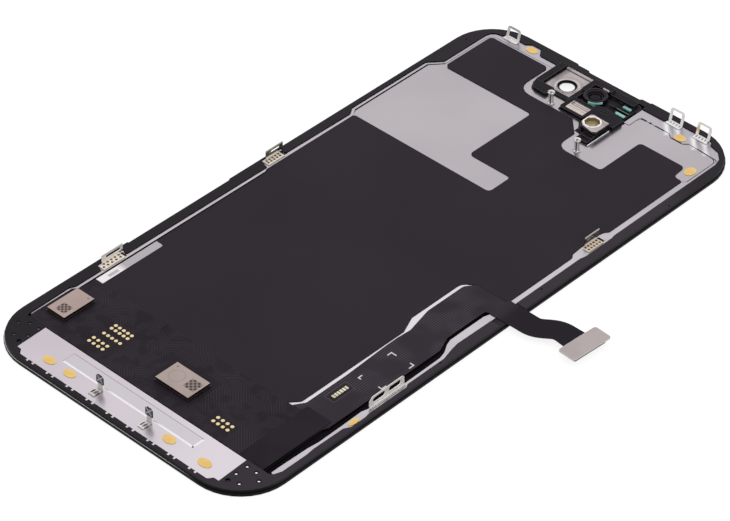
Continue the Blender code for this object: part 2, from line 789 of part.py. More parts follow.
def flex_left_edge():
    """The display flex's left edge, from its upper end down to the driver board."""
    x = W - 11.45
    return [
        (x, FLEX_END_Y, 0.6),
        (x - 1.7, FLEX_END_Y - 2.1, 1.5),
        (x - 1.7, along(-0.1245), 3.0),
        (x - 0.25, along(-0.213), 0.4),
        (x - 0.5, along(-0.2628)),
        (x - 0.45, along(-0.3112)),
        (x, along(-0.4564), 3.0),
        (x, BOARD_HIGH + 2.25, 1.2),
        (x - 1.4, BOARD_HIGH + 0.1),
    ]


def graphite_film():
    """The black graphite sheet, with its window, the sensor cut-out and the flex cut-out."""
    low = BOARD_HIGH + 0.05
    left = -W + RAIL_LOW_INSET + RAIL_WIDTH + 0.45
    side = -W + RAIL_SIDE_INSET + RAIL_WIDTH + 0.2
    right = W - 3.9
    edge = W - 12.1
    clip_low = RIGHT_FOOT_Y - RIGHT_FOOT_LENGTH / 2 + 0.5
    clip_high = RIGHT_CLIP_Y + RIGHT_CLIP_LENGTH / 2
    clip_y = LEFT_FOOT_Y - LEFT_FOOT_LENGTH / 2 + 1.3
    window_low = along(0.3693)
    window_step = along(0.4585)
    window_high = L - 20.2
    outline = [
        (-W + 6.0, low),
        (-W + 6.0, along(-0.4115), 0.8),
        (left, along(-0.4115)),
        (left, clip_y - 3.2),
        (side, clip_y - 2.5),
        (side, window_low, 0.6),
        (across(0.1548), window_low, 0.9),
        (across(0.1548), window_step, 0.9),
        (across(-0.1621), window_step, 1.0),
        (across(-0.1621), window_high, 1.0),
        (-W + 5.95, window_high, 0.5),
        (-W + 5.2, window_high + 0.9),
        (-W + 5.2, L - 5.55, 1.0),
        (BAY_LEFT - 0.6, L - 5.55, 1.2),
        (BAY_LEFT - 0.6, L - 15.55, 3.2),
        (1.5, L - 15.55),
        (5.05, L - 19.1),
        (5.05, L - 24.85, 2.6),
        (across(0.4819), L - 24.85, 0.8),
        (across(0.4819), L - 12.35, 0.9),
        (W - 6.45, L - 12.35, 0.9),
        (W - 6.15, L - 16.25, 1.2),
        (right, L - 16.3, 0.5),
        (right, clip_high + 2.4),
        (right - 0.75, clip_high + 1.4),
        (right - 0.9, clip_high + 0.4),
        (right - 0.9, clip_low - 0.5),
        (right - 0.7, clip_low - 3.1),
        (right, clip_low - 4.1),
        (right, TAIL_START_Y + TAIL_WIDTH / 2 + FLEX_FIT),
        (W - 4.5, FLEX_END_Y + FLEX_FIT),
        (edge + 0.75, FLEX_END_Y + FLEX_FIT, 0.6),
        (edge - 1.95, 1.6, 1.8),
        (edge - 1.95, along(-0.1715), 1.5),
        (edge - 0.25, along(-0.2282), 0.6),
        (edge - 0.3, BOARD_HIGH + 2.05, 1.2),
        (edge - 2.0, low),
    ]
    return prism("graphite_film", rounded(outline), SHEET_BOTTOM, FILM_TOP, BLACK_FILM)


def tail_edge(offset, steps=14):
    """One long edge of the tail: straight, then a smooth sideways shift, then straight."""
    points = []
    rise = TAIL_END_Y - TAIL_START_Y
    for step in range(steps + 1):
        t = step / steps
        x = TAIL_STRAIGHT_TO + TAIL_BEND_LENGTH * t
        y = TAIL_START_Y + rise * (t - math.sin(2 * math.pi * t) / (2 * math.pi))
        slope = rise * (1 - math.cos(2 * math.pi * t)) / TAIL_BEND_LENGTH
        normal = Vector((-slope, 1)).normalized() * offset
        points.append((x + normal.x, y + normal.y))
    return points


def display_flex():
    """The printed circuit from the driver board up the right side and out as the tail."""
    half = TAIL_WIDTH / 2
    end_x = STIFFENER_CENTRE[0] - 0.2
    bend = TAIL_START_Y - half
    outline = [
        *flex_left_edge()[::-1],
        (W - 4.3, FLEX_END_Y),
        (W - 4.0, TAIL_START_Y + half, 0.3),
        *tail_edge(half),
        (end_x, TAIL_END_Y + half),
        (end_x, TAIL_END_Y - half - 1.3),
        (end_x - 1.7, TAIL_END_Y - half - 1.3, 0.2),
        (end_x - 2.0, TAIL_END_Y - half - 0.3, 1.0),
        *tail_edge(-half)[::-1],
        (W - 5.2, bend, 0.6),
        (W - 5.2, along(-0.1701), 1.5),
        (W - 3.75, along(-0.2199), 1.0),
        (W - 3.8, BOARD_HIGH + 0.1),
    ]
    return prism("display_flex", rounded(outline), SHEET_BOTTOM, FLEX_TOP, BLACK_FLEX)


def tail_connector():
    turn = Matrix.Rotation(STIFFENER_TURN, 2)
    centre = Vector(STIFFENER_CENTRE)

    def turned(width, length, radius):
        plain = rectangle(-width / 2, width / 2, -length / 2, length / 2, radius, 4)
        return [tuple(centre + turn @ Vector(p)) for p in plain]

    low = FLEX_TOP + ADHESIVE
    plate = turned(STIFFENER_WIDTH, STIFFENER_LENGTH, 0.6)
    prism("tail_stiffener", plate, low, low + STIFFENER_THICKNESS, SHIELD_METAL)
    body = turned(CONNECTOR_WIDTH, CONNECTOR_LENGTH, 0.25)
    high = SHEET_BOTTOM - ADHESIVE
    connector = prism("tail_connector", body, high - CONNECTOR_HEIGHT, high, CONNECTOR_BLACK)
    well = turned(CONNECTOR_WIDTH - 1.1, CONNECTOR_LENGTH - 1.1, 0.2)
    tongue = turned(CONNECTOR_WIDTH - 2.2, CONNECTOR_LENGTH - 2.4, 0.1)
    deep = high - 0.25
    cut(connector, prism("well", well, high - CONNECTOR_HEIGHT - 1, deep, CONNECTOR_BLACK, [tongue]))
    return connector


def driver_board():
    """The chip-on-film board across the lower end, with its rows of raised gold pads."""
    high = BOARD_HIGH
    outline = [
        (-W + 4.1, high),
        (-W + 4.0, high - 3.9),
        (-W + 2.95, high - 5.2),
        (-W + 2.95, BOARD_LOW + 0.6),
        (-W + 3.4, BOARD_LOW),
        (W - 4.5, BOARD_LOW),
        (W - 4.4, high - 1.4),
        (W - 3.85, high),
    ]
    board = prism("driver_board", outline, SHEET_BOTTOM, FLEX_TOP, BLACK_FLEX)
    near = across(-0.5109)
    far = across(0.4182)
    rows = [(near, 6.9, 5), (near, 8.0, 5), (near, 9.95, 5), (near - 0.45, 12.15, 4), (near - 0.45, 13.35, 4)]
    rows += [(far, 11.9, 4), (far, 13.15, 4)]
    pads = []
    for first_x, drop, count in rows:
        pitch = PAD_PITCH * (1.12 if count == 4 else 1)
        for i in range(count):
            outline = ellipse(first_x + i * pitch, high - drop, PAD_RADIUS, PAD_RADIUS, 8)
            pads.append(prism("pad", outline, FLEX_TOP - 0.05, FLEX_TOP + PAD_HEIGHT, GOLD))
    return joined(board, *pads)


def driver_chips():
    """The two shielded chips, each a can on a slightly larger carrier."""
    low = FLEX_TOP + ADHESIVE
    places = {"left": (-W + 6.75, BOARD_HIGH - 8.9, 4.9, 8.05),
              "middle": (across(0.0897), BOARD_HIGH - 9.75, 8.8, 6.0)}
    for side, (x, y, width, length) in places.items():
        carrier = rectangle(x - width / 2, x + width / 2, y - length / 2, y + length / 2)
        can = grown(carrier, -0.12)
        chip = prism(f"driver_chip_{side}", carrier, low, low + 0.28, SHIELD_METAL)
        joined(chip, prism("can", can, low + 0.2, low + CHIP_HEIGHT, SHIELD_METAL, rim=CHIP_EDGE_ROUND))


def fold_tape():
    outline = rectangle(W - 10.5, W - 4.45, BOARD_LOW + 0.25, BOARD_HIGH + 1.6, 0.2, 2)
    low = FLEX_TOP + ADHESIVE
    return prism("fold_tape", outline, low, low + TAPE_THICKNESS, BLACK_TAPE)


def pad_strip():
    """The short bar of six test pads on the display flex."""
    low = FLEX_TOP + ADHESIVE
    x = W - 9.0
    half = STRIP_PADS * STRIP_PITCH / 2
    middle = BOARD_HIGH + 8.65
    outline = rectangle(x - 0.43, x + 0.43, middle - half, middle + half, 0.1, 2)
    strip = prism("pad_strip", outline, low, low + 0.05, GOLD)
    grooves = []
    for i in range(1, STRIP_PADS):
        y = middle - half + i * STRIP_PITCH
        groove = rectangle(x - 0.32, x + 1, y - 0.1, y + 0.1)
        grooves.append(prism("groove", groove, low + 0.025, low + 1, GOLD))
    return cut(strip, *grooves)


def bottom_plate():
    """The lower steel plate: nubs along its edge, a raised panel and two hidden wings."""
    top = PLATE_BOTTOM + BOTTOM_PLATE_THICKNESS
    plate = prism("bottom_plate", rounded(bottom_plate_outline(), 2), PLATE_BOTTOM, top, PLAIN_STEEL)
    wing_top = PLATE_BOTTOM + WING_THICKNESS
    wings = [prism("wing", wing_outline(side), PLATE_BOTTOM + 0.02, wing_top, PLAIN_STEEL) for side in (-1, 1)]
    middle = -L + BOTTOM_PLATE_FROM_BOTTOM + BOTTOM_PLATE_DEPTH - RAISED_FROM_TOP
    half = RAISED_DEPTH / 2
    outline = rectangle(across(-0.5022), across(0.4848), middle - half, middle + half, 0.35, 3)
    raised = prism("raised_panel", outline, top - 0.16, top + EMBOSS_HEIGHT, PLAIN_STEEL)
    soften(raised, 0.12, 1)
    return joined(plate, *wings, raised)


def contact_springs():
    """Two contact springs: a pierced foot, a neck and a broad upright head."""
    foot_width, foot_length = SPRING_FOOT
    low = PLATE_BOTTOM + BOTTOM_PLATE_THICKNESS + ADHESIVE
    back = SPRING_BACK
    for number, x in enumerate(SPRING_XS, 1):
        holes = [rectangle(x + side * 0.35 - 0.14, x + side * 0.35 + 0.14, back - 1.75, back - 0.65, 0.13, 2)
                 for side in (-1, 1)]
        foot = prism(f"contact_spring_{number}", rectangle(x - foot_width / 2, x + foot_width / 2,
                     back - foot_length, back, 0.15, 2), low, low + CLIP_SHEET, BRIGHT_STEEL, holes)
        middle = x + SPRING_OFFSET
        neck = SPRING_NECK_WIDTH / 2
        half = SPRING_HEAD_WIDTH / 2
        neck_top = low + SPRING_NECK
        top = neck_top + SPRING_HEAD
        # The upright seen along Y, as (z, x), with four openings round a cross
        head = rounded([
            (low, middle - neck),
            (neck_top - 0.15, middle - neck, 0.1),
            (neck_top, middle - half, 0.1),
            (top - SPRING_CHAMFER, middle - half, 0.1),
            (top, middle - half + SPRING_CHAMFER, 0.1),
            (top, middle + half - SPRING_CHAMFER, 0.1),
            (top - SPRING_CHAMFER, middle + half, 0.1),
            (neck_top, middle + half, 0.1),
            (neck_top - 0.15, middle + neck, 0.1),
            (low, middle + neck),
        ], 2)
        centre = neck_top + SPRING_HEAD / 2
        arm = SPRING_HEAD * 0.27
        windows = [rectangle(centre + turn_z - 0.17, centre + turn_z + 0.17,
                             middle + turn_x - 0.17, middle + turn_x + 0.17, 0.16, 2)
                   for turn_z, turn_x in ((arm, 0), (-arm, 0), (0, arm), (0, -arm))]
        upright = prism("head", head, back - CLIP_SHEET, back, BRIGHT_STEEL, windows, "Y")
        joined(foot, upright)


def side_clip(name, tab, foot, foot_x, wall_x, rows, window):
    """A welded side clip: a foot with rows of weld marks, and an upright tab with a slot.

    The tab and the foot are (middle, length) along Y, each row is (x, middle, pitch), and the
    window is (length, rise, height).
    """
    low = PLATE_TOP + ADHESIVE
    y, length = tab
    foot_y, foot_length = foot
    section = sheet_angle(foot_x, wall_x, low, CLIP_HEIGHT)
    shared_low = y - length / 2
    shared_high = foot_y + foot_length / 2
    clip = prism(name, section, shared_low, shared_high, BRIGHT_STEEL, (), "Y")
    inner = wall_x + CLIP_BEND + CLIP_SHEET + 0.1
    base = rectangle(inner, foot_x, foot_y - foot_length / 2, shared_low + 0.3)
    rise = low + CLIP_BEND + CLIP_SHEET
    top = low + CLIP_HEIGHT
    wall = rounded([
        (shared_high - 0.3, rise),
        (y + length / 2, rise, 0.2),
        (y + length / 2, top),
        (shared_high - 0.3, top),
    ], 2)
    joined(clip, prism("base", base, low, low + CLIP_SHEET, BRIGHT_STEEL),
           prism("tab", wall, wall_x, wall_x + CLIP_SHEET, BRIGHT_STEEL, (), "X"))
    cuts = []
    for row_x, middle, pitch in rows:
        for i in range(CLIP_HOLES):
            hole_y = middle + (i - (CLIP_HOLES - 1) / 2) * pitch
            outline = ellipse(row_x, hole_y, CLIP_HOLE_RADIUS, CLIP_HOLE_RADIUS, 6)
            cuts.append(prism("weld_mark", outline, low + CLIP_SHEET / 3, low + 1, BRIGHT_STEEL))
    slot_length, slot_rise, slot_height = window
    opening = slot(y + 0.25, low + slot_rise, slot_length, slot_height)
    cuts.append(prism("window", opening, wall_x - 1, wall_x + 1, BRIGHT_STEEL, (), "X"))
    return cut(clip, *cuts)


def side_clips():
    wall = -W + 0.7
    side_clip("side_clip_left", (LEFT_CLIP_Y, LEFT_CLIP_LENGTH), (LEFT_FOOT_Y, LEFT_FOOT_LENGTH),
              wall + 2.1, wall, ((wall + 0.85, LEFT_FOOT_Y, 0.83), (wall + 1.5, LEFT_FOOT_Y - 0.1, 0.83)),
              (2.5, 1.05, 0.5))
    wall = -W + 1.35
    side_clip("side_clip_low_left", (LOW_CLIP_Y, LOW_CLIP_LENGTH), (LOW_FOOT_Y, LOW_FOOT_LENGTH),
              wall + 1.9, wall, ((wall + 0.6, LOW_FOOT_Y + 0.3, 0.98), (wall + 1.3, LOW_FOOT_Y - 0.1, 1.1)),
              (3.9, 1.05, 0.7))
    wall = W - 4.75
    side_clip("side_clip_right", (RIGHT_CLIP_Y, RIGHT_CLIP_LENGTH), (RIGHT_FOOT_Y, RIGHT_FOOT_LENGTH),
              wall + 2.1, wall, ((wall + 0.75, RIGHT_FOOT_Y, 0.8), (wall + 1.6, RIGHT_FOOT_Y + 0.05, 0.8)),
              (2.5, 0.75, 0.5))


def hoop_clips():
    """The three wire-like hoops along the top, each stamped with its welded pad."""
    low = PLATE_TOP + ADHESIVE
    for side, (x, from_top, height) in HOOP_PLACES.items():
        y = L - from_top
        half = HOOP_WIDTH / 2
        pad = prism(f"hoop_clip_{side}", rectangle(x - half, x + half, y - HOOP_PAD, y, 0.15, 2),
                    low, low + CLIP_SHEET, BRIGHT_STEEL)
        outer = rounded([(0, -half), (height, -half, 0.6), (height, half, 0.6), (0, half)], 3)
        reach = half - HOOP_LEG
        top = height - HOOP_BAR
        inside = rounded([(0.35, -reach), (top, -reach, 0.2), (top, reach, 0.2), (0.35, reach)], 3)
        hoop = prism("hoop", outer, -HOOP_SHEET, 0, BRIGHT_STEEL, [inside], "Y")
        hoop.matrix_world = (Matrix.Translation(Vector((x, y, low)) * MM)
                             @ Matrix.Rotation(-HOOP_LEAN, 4, "X"))
        dimples = [prism("dimple", rectangle(x + dx - 0.24, x + dx + 0.24, y - 0.9, y - 0.4, 0.1, 2),
                         low + CLIP_SHEET - 0.07, low + 1, BRIGHT_STEEL) for dx in (-1.15, -0.4, 0.4, 1.15)]
        bpy.context.view_layer.update()
        cut(joined(pad, hoop), *dimples)


def loop_bracket():
    """The bracket beside the flex: a foot, and an upright wall with two long windows."""
    low = PLATE_TOP + ADHESIVE
    x = W - LOOP_INSET
    bracket = prism("loop_bracket", sheet_angle(x + LOOP_FOOT, x, low, 0.7), LOOP_Y - LOOP_LENGTH / 2,
                    LOOP_Y + LOOP_LENGTH / 2, BRIGHT_STEEL, (), "Y")
    half = LOOP_LENGTH / 2
    top = low + LOOP_HEIGHT
    # Wall seen along X, as (y, z)
    wall = rounded([(LOOP_Y - half, low + 0.5), (LOOP_Y + half, low + 0.5), (LOOP_Y + half, top - 0.4, 0.2),
                    (LOOP_Y + half - 0.5, top, 0.3), (LOOP_Y - half + 0.8, top, 0.4),
                    (LOOP_Y - half, top - 0.9, 0.3)], 3)
    rise = low + LOOP_WINDOW_RISE
    windows = [slot(LOOP_Y + shift * LOOP_WINDOW_PITCH / 2, rise, LOOP_WINDOW_LENGTH, LOOP_WINDOW_HEIGHT)
               for shift in (-1, 1)]
    upright = prism("wall", wall, x, x + CLIP_SHEET, BRIGHT_STEEL, (), "X")
    joined(bracket, upright)
    cuts = [prism("window", window, x - 1, x + 0.5, BRIGHT_STEEL, (), "X") for window in windows]
    return cut(bracket, *cuts)


def octagon(reach):
    turn = math.pi / 8
    return [(PROJECTOR_X + reach * math.cos(turn + i * math.pi / 4),
             PROJECTOR_Y + reach * math.sin(turn + i * math.pi / 4)) for i in range(8)]


def sensor_holder():
    """The black moulding of the camera and sensor bay: a floor with walls and housings on it."""
    low = PLATE_BOTTOM
    floor = low + 0.14
    opening = CAMERA_RADIUS - CAMERA_RING
    camera = ellipse(CAMERA_X, CAMERA_Y, opening, opening, 24)
    cup = ellipse(CUP_X, CUP_Y, CUP_RADIUS / 2, CUP_RADIUS / 2, 16)
    holder = prism("sensor_holder", rounded(holder_outline(), 3), low, floor, BLACK_PLASTIC, [camera, cup])
    start = floor - 0.1
    right = BAY_RIGHT - HOLDER_FIT
    body_top = low + PROJECTOR_HEIGHT
    blocks = [
        ("left_wall", rectangle(-12.45, -10.8, L - 10.9, L - 2.6, 0.3, 2), low + 0.82),
        ("corner_pad", rounded([(-12.3, L - 10.8), (-12.2, L - 11.4, 0.8), (-11.1, L - 13.45, 1.3),
                                (-7.55, L - 13.65, 0.3), (-7.55, L - 10.8)], 3), low + 0.9),
        ("seat_sill", rectangle(-11.5, -2.8, L - 11.85, L - 10.75, 0.1, 2), low + 0.5),
        ("cup_wall", rectangle(-3.35, -2.2, L - 11.7, L - 2.6, 0.2, 2), low + 0.8),
        ("cup_housing", rounded([(-3.2, L - 7.3, 0.3), (-1.9, L - 7.3), (-1.9, L - 4.3), (2.2, L - 4.3),
                                 (2.2, L - 2.75), (-3.2, L - 2.75, 0.6)], 2), low + 1.2),
        ("top_wall", rectangle(-3.3, 8.2, L - 4.3, L - 2.5, 0.2, 2), low + 0.72),
        ("stripe_bezel", rectangle(-2.8, 3.3, L - 14.8, L - 10.2, 0.5, 3), low + 0.92),
        ("bridge", rounded([(2.7, L - 9.8, 0.3), (4.4, L - 8.95, 0.3), (right + 0.6, L - 9.95, 0.4),
                            (right + 0.6, L - 13.15, 0.2), (right - 0.3, L - 13.2), (right - 0.3, L - 14.0),
                            (2.7, L - 14.0)], 3), low + 1.1),
        ("projector_body", rounded([(4.4, L - 13.1), (4.4, L - 16.7, 0.4), (5.4, L - 17.7),
                                    (8.4, L - 18.1, 0.3), (right - 0.1, L - 17.9, 0.3),
                                    (right - 0.1, L - 13.1)], 3), body_top),
        ("lower_block", rectangle(6.35, right - 0.15, L - 20.35, L - 17.6, 0.3, 2), low + 0.7),
        ("lower_step", rectangle(6.6, right - 0.25, L - 19.2, L - 17.6, 0.2, 2), low + 1.0),
        ("recess_rim", rectangle(right - 0.35, right - 0.05, L - 8.6, L - 4.6, 0.14, 2), low + 0.34),
        ("rib", rectangle(3.9, 9.1, L - 6.95, L - 6.5), low + 0.5),
    ]
    joined(holder, *[prism(name, outline, start, top, BLACK_PLASTIC) for name, outline, top in blocks])
    wells = [
        ("window_well", rectangle(-1.8, 2.95, L - 14.2, L - 11.2, 0.2, 2), low + WINDOW_LEDGE),
        ("projector_well", octagon(PROJECTOR_RADIUS), body_top - PROJECTOR_DEPTH),
        ("groove", rectangle(4.5, 6.5, L - 10.7, L - 10.3, 0.1, 2), low + 0.8),
    ]
    cutters = [prism(name, outline, bottom, low + 3, BLACK_PLASTIC) for name, outline, bottom in wells]
    return cut(holder, *cutters)


def camera_seat():
    """The steel seat of the front camera, open to the glass below."""
    low = PLATE_BOTTOM + 0.14 + ADHESIVE
    outline = rectangle(-10.7, -3.45, L - 10.65, L - 2.5, 0.25, 2)
    hole, bore, ring = [ellipse(CAMERA_X, CAMERA_Y, CAMERA_RADIUS + more, CAMERA_RADIUS + more, 24)
                        for more in (0, 0.06, 0.4)]
    seat = prism("camera_seat", outline, low, low + 0.12, PLAIN_STEEL, [hole])
    ledge = rectangle(-10.6, -3.6, L - 3.35, L - 2.6)
    return joined(seat, prism("ring", ring, low + 0.06, low + 0.22, PLAIN_STEEL, [bore]),
                  prism("ledge", ledge, low + 0.06, low + 0.3, PLAIN_STEEL))


def lens_cup():
    """The round infrared camera cup and the lens inside it."""
    low = PLATE_BOTTOM + 0.14 + ADHESIVE
    rim = CUP_RADIUS
    profile = [
        (rim - 0.05, low),
        (rim, low + 0.55),
        (rim, low + 0.95),
        (rim - 0.12, low + 1.05),
        (rim - 0.5, low + 1.05),
        (rim - 0.65, low + 0.85),
        (rim - 0.8, low + 0.8),
        (rim - 0.95, low + 0.45),
        (rim - 1.1, low + 0.4),
        (rim - 1.1, low),
    ]
    cup = turned_piece("infrared_cup", CUP_X, CUP_Y, profile, BLACK_PLASTIC, 24)
    spare = prism("spare", rectangle(-5, -2.1, L - 12, L - 2), low - 1, low + 3, BLACK_PLASTIC)
    upper = prism("upper", rectangle(-3, 3.5, L - 4.4, L - 2), low - 1, low + 3, BLACK_PLASTIC)
    corner = prism("corner", rectangle(-3, -1.8, L - 7.4, L - 2), low - 1, low + 3, BLACK_PLASTIC)
    cut(cup, spare, upper, corner)
    lens = rim - 1.18
    dome = [(0, low + 0.02), (lens, low + 0.02), (lens, low + 0.25)]
    dome += [(lens * math.cos(a), low + 0.25 + 0.3 * math.sin(a)) for a in (0.4, 0.8, 1.2)]
    dome.append((0, low + 0.55))
    turned_piece("infrared_lens", CUP_X, CUP_Y, dome, LENS_GLASS, 16)


def sensor_windows():
    """The ribbed flood window and the eight-sided projector window in its metal cover."""
    low = PLATE_BOTTOM + WINDOW_LEDGE + ADHESIVE
    pane = rectangle(-1.7, 2.85, L - 14.1, L - 11.3, 0.15, 2)
    window = prism("flood_window", pane, low, low + 0.3, SHIELD_METAL)
    bars = [prism("bar", rectangle(-1.55, 2.7, y, y + 0.18), low + 0.2, low + 0.38, SHIELD_METAL)
            for y in (L - 13.95 + i * 0.36 for i in range(7))]
    joined(window, *bars)
    cover_low = PLATE_BOTTOM + PROJECTOR_HEIGHT + ADHESIVE
    outline = rounded([(4.6, L - 13.6, 0.5), (4.6, L - 16.5, 0.4), (5.55, L - 17.4), (8.4, L - 17.95, 0.3),
                       (9.2, L - 17.4, 0.2), (9.2, L - 13.35, 0.2), (5.2, L - 13.25, 0.4)], 3)
    prism("projector_cover", outline, cover_low, cover_low + 0.15, BRIGHT_STEEL, [octagon(PROJECTOR_RADIUS)])
    glass_low = cover_low - PROJECTOR_DEPTH
    prism("projector_glass", octagon(PROJECTOR_RADIUS - 0.05), glass_low, glass_low + 0.12, BROWN_GLASS)


def teal_flexes():
    low = PLATE_BOTTOM + 0.14 + ADHESIVE
    prism("teal_strip_upper", rectangle(6.4, 8.45, L - 5.7, L - 5.0, 0.15, 2), low, low + 0.3, TEAL_FLEX)
    prism("teal_strip_lower", rectangle(6.6, 8.95, L - 8.35, L - 7.65, 0.15, 2), low, low + 0.3, TEAL_FLEX)

    def band(first, last):
        centre = Vector((CUP_X, CUP_Y))
        arc = []
        for radius, order in ((CUP_RADIUS + 0.08, 1), (CUP_RADIUS + 0.28, -1)):
            angles = [math.radians(first + i * (last - first) / 5) for i in range(6)]
            for angle in angles[::order]:
                arc.append(tuple(centre + Vector((math.cos(angle), math.sin(angle))) * radius))
        return arc

    curve = prism("teal_flex_curve", band(-84, -52), low, low + 1.0, TEAL_FLEX)
    joined(curve, prism("arm", band(-56, -20), low + 0.6, low + 1.0, TEAL_FLEX))


def standoff_posts():
    """The two hollow standoff posts of the sensor bay."""
    low = PLATE_TOP + ADHESIVE
    top = low + POST_HEIGHT
    places = {"left": (-5.25, L - 14.5), "right": (9.0, L - 23.15)}
    for side, (x, y) in places.items():
        profile = [(0, low), (POST_FLARE, low), (POST_FLARE, low + 0.14), (POST_RADIUS, low + 0.3),
                   (POST_RADIUS, top - 0.6), (POST_FLARE, top - 0.3), (POST_FLARE, top - 0.05),
                   (POST_FLARE - 0.08, top), (POST_BORE + 0.1, top), (POST_BORE, top - 0.15),
                   (POST_BORE, top - 1.4), (0, top - 1.4)]
        turned_piece(f"standoff_post_{side}", x, y, profile, BRIGHT_STEEL, 16)


def contact_spots():
    """The gold-plated contact foils on the rails and the bottom plate."""
    rail = PLATE_TOP + ADHESIVE
    plate = PLATE_BOTTOM + BOTTOM_PLATE_THICKNESS + ADHESIVE
    spots = {
        "top_left": (across(-0.5818), L - 3.2, 1.5, 0.95, rail),
        "top_right": (across(0.6165), L - 5.35, 1.35, 1.05, rail),
        "right": (W - 1.75, LOOP_Y - 9.3, 0.6, 1.4, rail),
        "bottom_1": (across(-0.5615), -L + 3.9, 1.55, 1.0, plate),
        "bottom_2": (across(-0.4023), -L + 3.9, 1.45, 1.0, plate),
        "bottom_3": (across(0.3531), -L + 4.0, 1.55, 1.05, plate),
        "bottom_4": (across(0.6165), -L + 4.0, 1.6, 1.05, plate),
        "upper_side": (W - 4.8, L - 12.6, 1.1, 1.5, rail),
    }
    for place, (x, y, rx, ry, low) in spots.items():
        prism(f"contact_spot_{place}", ellipse(x, y, rx, ry, 16), low, low + SPOT_THICKNESS, GOLD)


def build():
    for thing in list(bpy.data.objects):
        bpy.data.objects.remove(thing)
    cover_glass()
    oled_panel()
    moulded_frame()
    edge_rails()
    back_plate()
    graphite_film()
    display_flex()
    tail_connector()
    driver_board()
    driver_chips()
    fold_tape()
    pad_strip()
    bottom_plate()
    contact_springs()
    side_clips()
    hoop_clips()
    loop_bracket()
    sensor_holder()
    camera_seat()
    lens_cup()
    sensor_windows()
    teal_flexes()
    standoff_posts()
    contact_spots()


build()
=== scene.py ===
# %% [markdown]
# # A phone display module, seen from its back
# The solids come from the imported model, which is loaded here as a fixed frame. This lesson
# gives each of them its finish, with the small printed and stamped details that a display
# module shows close up, and sets a plain pale studio round it. Places in this file are in
# millimetres from the middle of the glass, turned into metres where the scene needs them.

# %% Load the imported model
import math

import bpy
from mathutils import Matrix, Vector


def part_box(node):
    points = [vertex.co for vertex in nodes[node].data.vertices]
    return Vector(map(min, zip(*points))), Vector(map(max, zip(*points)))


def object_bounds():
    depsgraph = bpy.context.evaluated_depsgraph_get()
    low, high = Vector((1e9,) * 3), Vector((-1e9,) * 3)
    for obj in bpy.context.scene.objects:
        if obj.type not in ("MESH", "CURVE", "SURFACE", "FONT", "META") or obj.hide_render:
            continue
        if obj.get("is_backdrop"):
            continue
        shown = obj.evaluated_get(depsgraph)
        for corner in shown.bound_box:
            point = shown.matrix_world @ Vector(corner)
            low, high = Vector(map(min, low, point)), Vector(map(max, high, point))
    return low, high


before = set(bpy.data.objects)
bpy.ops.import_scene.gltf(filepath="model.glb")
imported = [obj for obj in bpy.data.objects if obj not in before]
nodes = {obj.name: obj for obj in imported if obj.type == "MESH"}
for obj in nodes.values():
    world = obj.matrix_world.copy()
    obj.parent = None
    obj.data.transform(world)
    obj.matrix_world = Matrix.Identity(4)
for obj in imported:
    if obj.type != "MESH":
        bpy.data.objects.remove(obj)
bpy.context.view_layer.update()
mm = 0.001

# %% [markdown]
# ## The camera
# The photograph was taken with a long lens, from in front and to the right of the module. A
# camera aimed with a tracking constraint would do for a rough match. Here it is placed by three
# facts: where its eye is, which way is right in the picture, and which way is up. Their cross
# product gives the way it looks back.

# %% Set the camera
EYE = Vector((0.345406, -0.382865, 0.413980))
PICTURE_RIGHT = Vector((0.730572, 0.682645, 0.016128))
PICTURE_UP = Vector((-0.438983, 0.451449, 0.776845))
LENS = 167.95
SENSOR_WIDTH = 36
NEAREST = 0.01

lens = bpy.data.cameras.new("camera")
lens.sensor_width = SENSOR_WIDTH
lens.lens = LENS
lens.clip_start = NEAREST
camera = bpy.data.objects.new("camera", lens)
bpy.context.scene.collection.objects.link(camera)
turn = Matrix((PICTURE_RIGHT, PICTURE_UP, PICTURE_RIGHT.cross(PICTURE_UP))).transposed()
camera.matrix_world = Matrix.Translation(EYE) @ turn.to_4x4()
bpy.context.scene.camera = camera
print("camera at", tuple(round(v, 3) for v in EYE), "lens", lens.lens)

# %% [markdown]
# ## Places taken from the solids
# Printed and pressed details have to sit on what carries them. So most of them are placed from
# the box of their own solid, measured here in millimetres, and move with it if its size changes.

# %% Boxes in millimetres
def span(name):
    """The lowest and the highest corner of a solid."""
    low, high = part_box(name)
    return Vector(low) / mm, Vector(high) / mm


def middle(name):
    """The middle of a solid's box."""
    low, high = span(name)
    return (low + high) / 2


glass_high = span("cover_glass")[1]
HALF_WIDTH = glass_high.x
HALF_LENGTH = glass_high.y
# Places in the sensor bay are measured down from the glass's top edge.
TOP = HALF_LENGTH
print("half width and length in mm:", round(HALF_WIDTH, 2), round(HALF_LENGTH, 2))

# %% [markdown]
# ## Short ways to add nodes
# Every finish below is a small network of shader nodes. It could be wired by hand in the shader
# editor, node by node. One helper does that here: it adds a node and fills its sockets, so that
# the lines that follow read as a recipe. A plain value is set on the socket, and a socket of
# another node is linked to it.

# %% Helpers for shader nodes
def add(tree, kind, settings=None, **inputs):
    """A new node. Its inputs are given by name, or as i0, i1 and so on by their place."""
    node = tree.nodes.new(kind)
    for setting, value in (settings or {}).items():
        setattr(node, setting, value)
    for name, value in inputs.items():
        by_place = name[0] == "i" and name[1:].isdigit()
        socket = node.inputs[int(name[1:])] if by_place else node.inputs[name]
        if isinstance(value, bpy.types.NodeSocket):
            tree.links.new(value, socket)
        else:
            socket.default_value = value
    return node


def maths(tree, operation, *values):
    inputs = {f"i{i}": value for i, value in enumerate(values)}
    return add(tree, "ShaderNodeMath", {"operation": operation}, **inputs).outputs[0]


def vectors(tree, operation, *values):
    inputs = {f"i{i}": value for i, value in enumerate(values)}
    return add(tree, "ShaderNodeVectorMath", {"operation": operation}, **inputs).outputs[0]


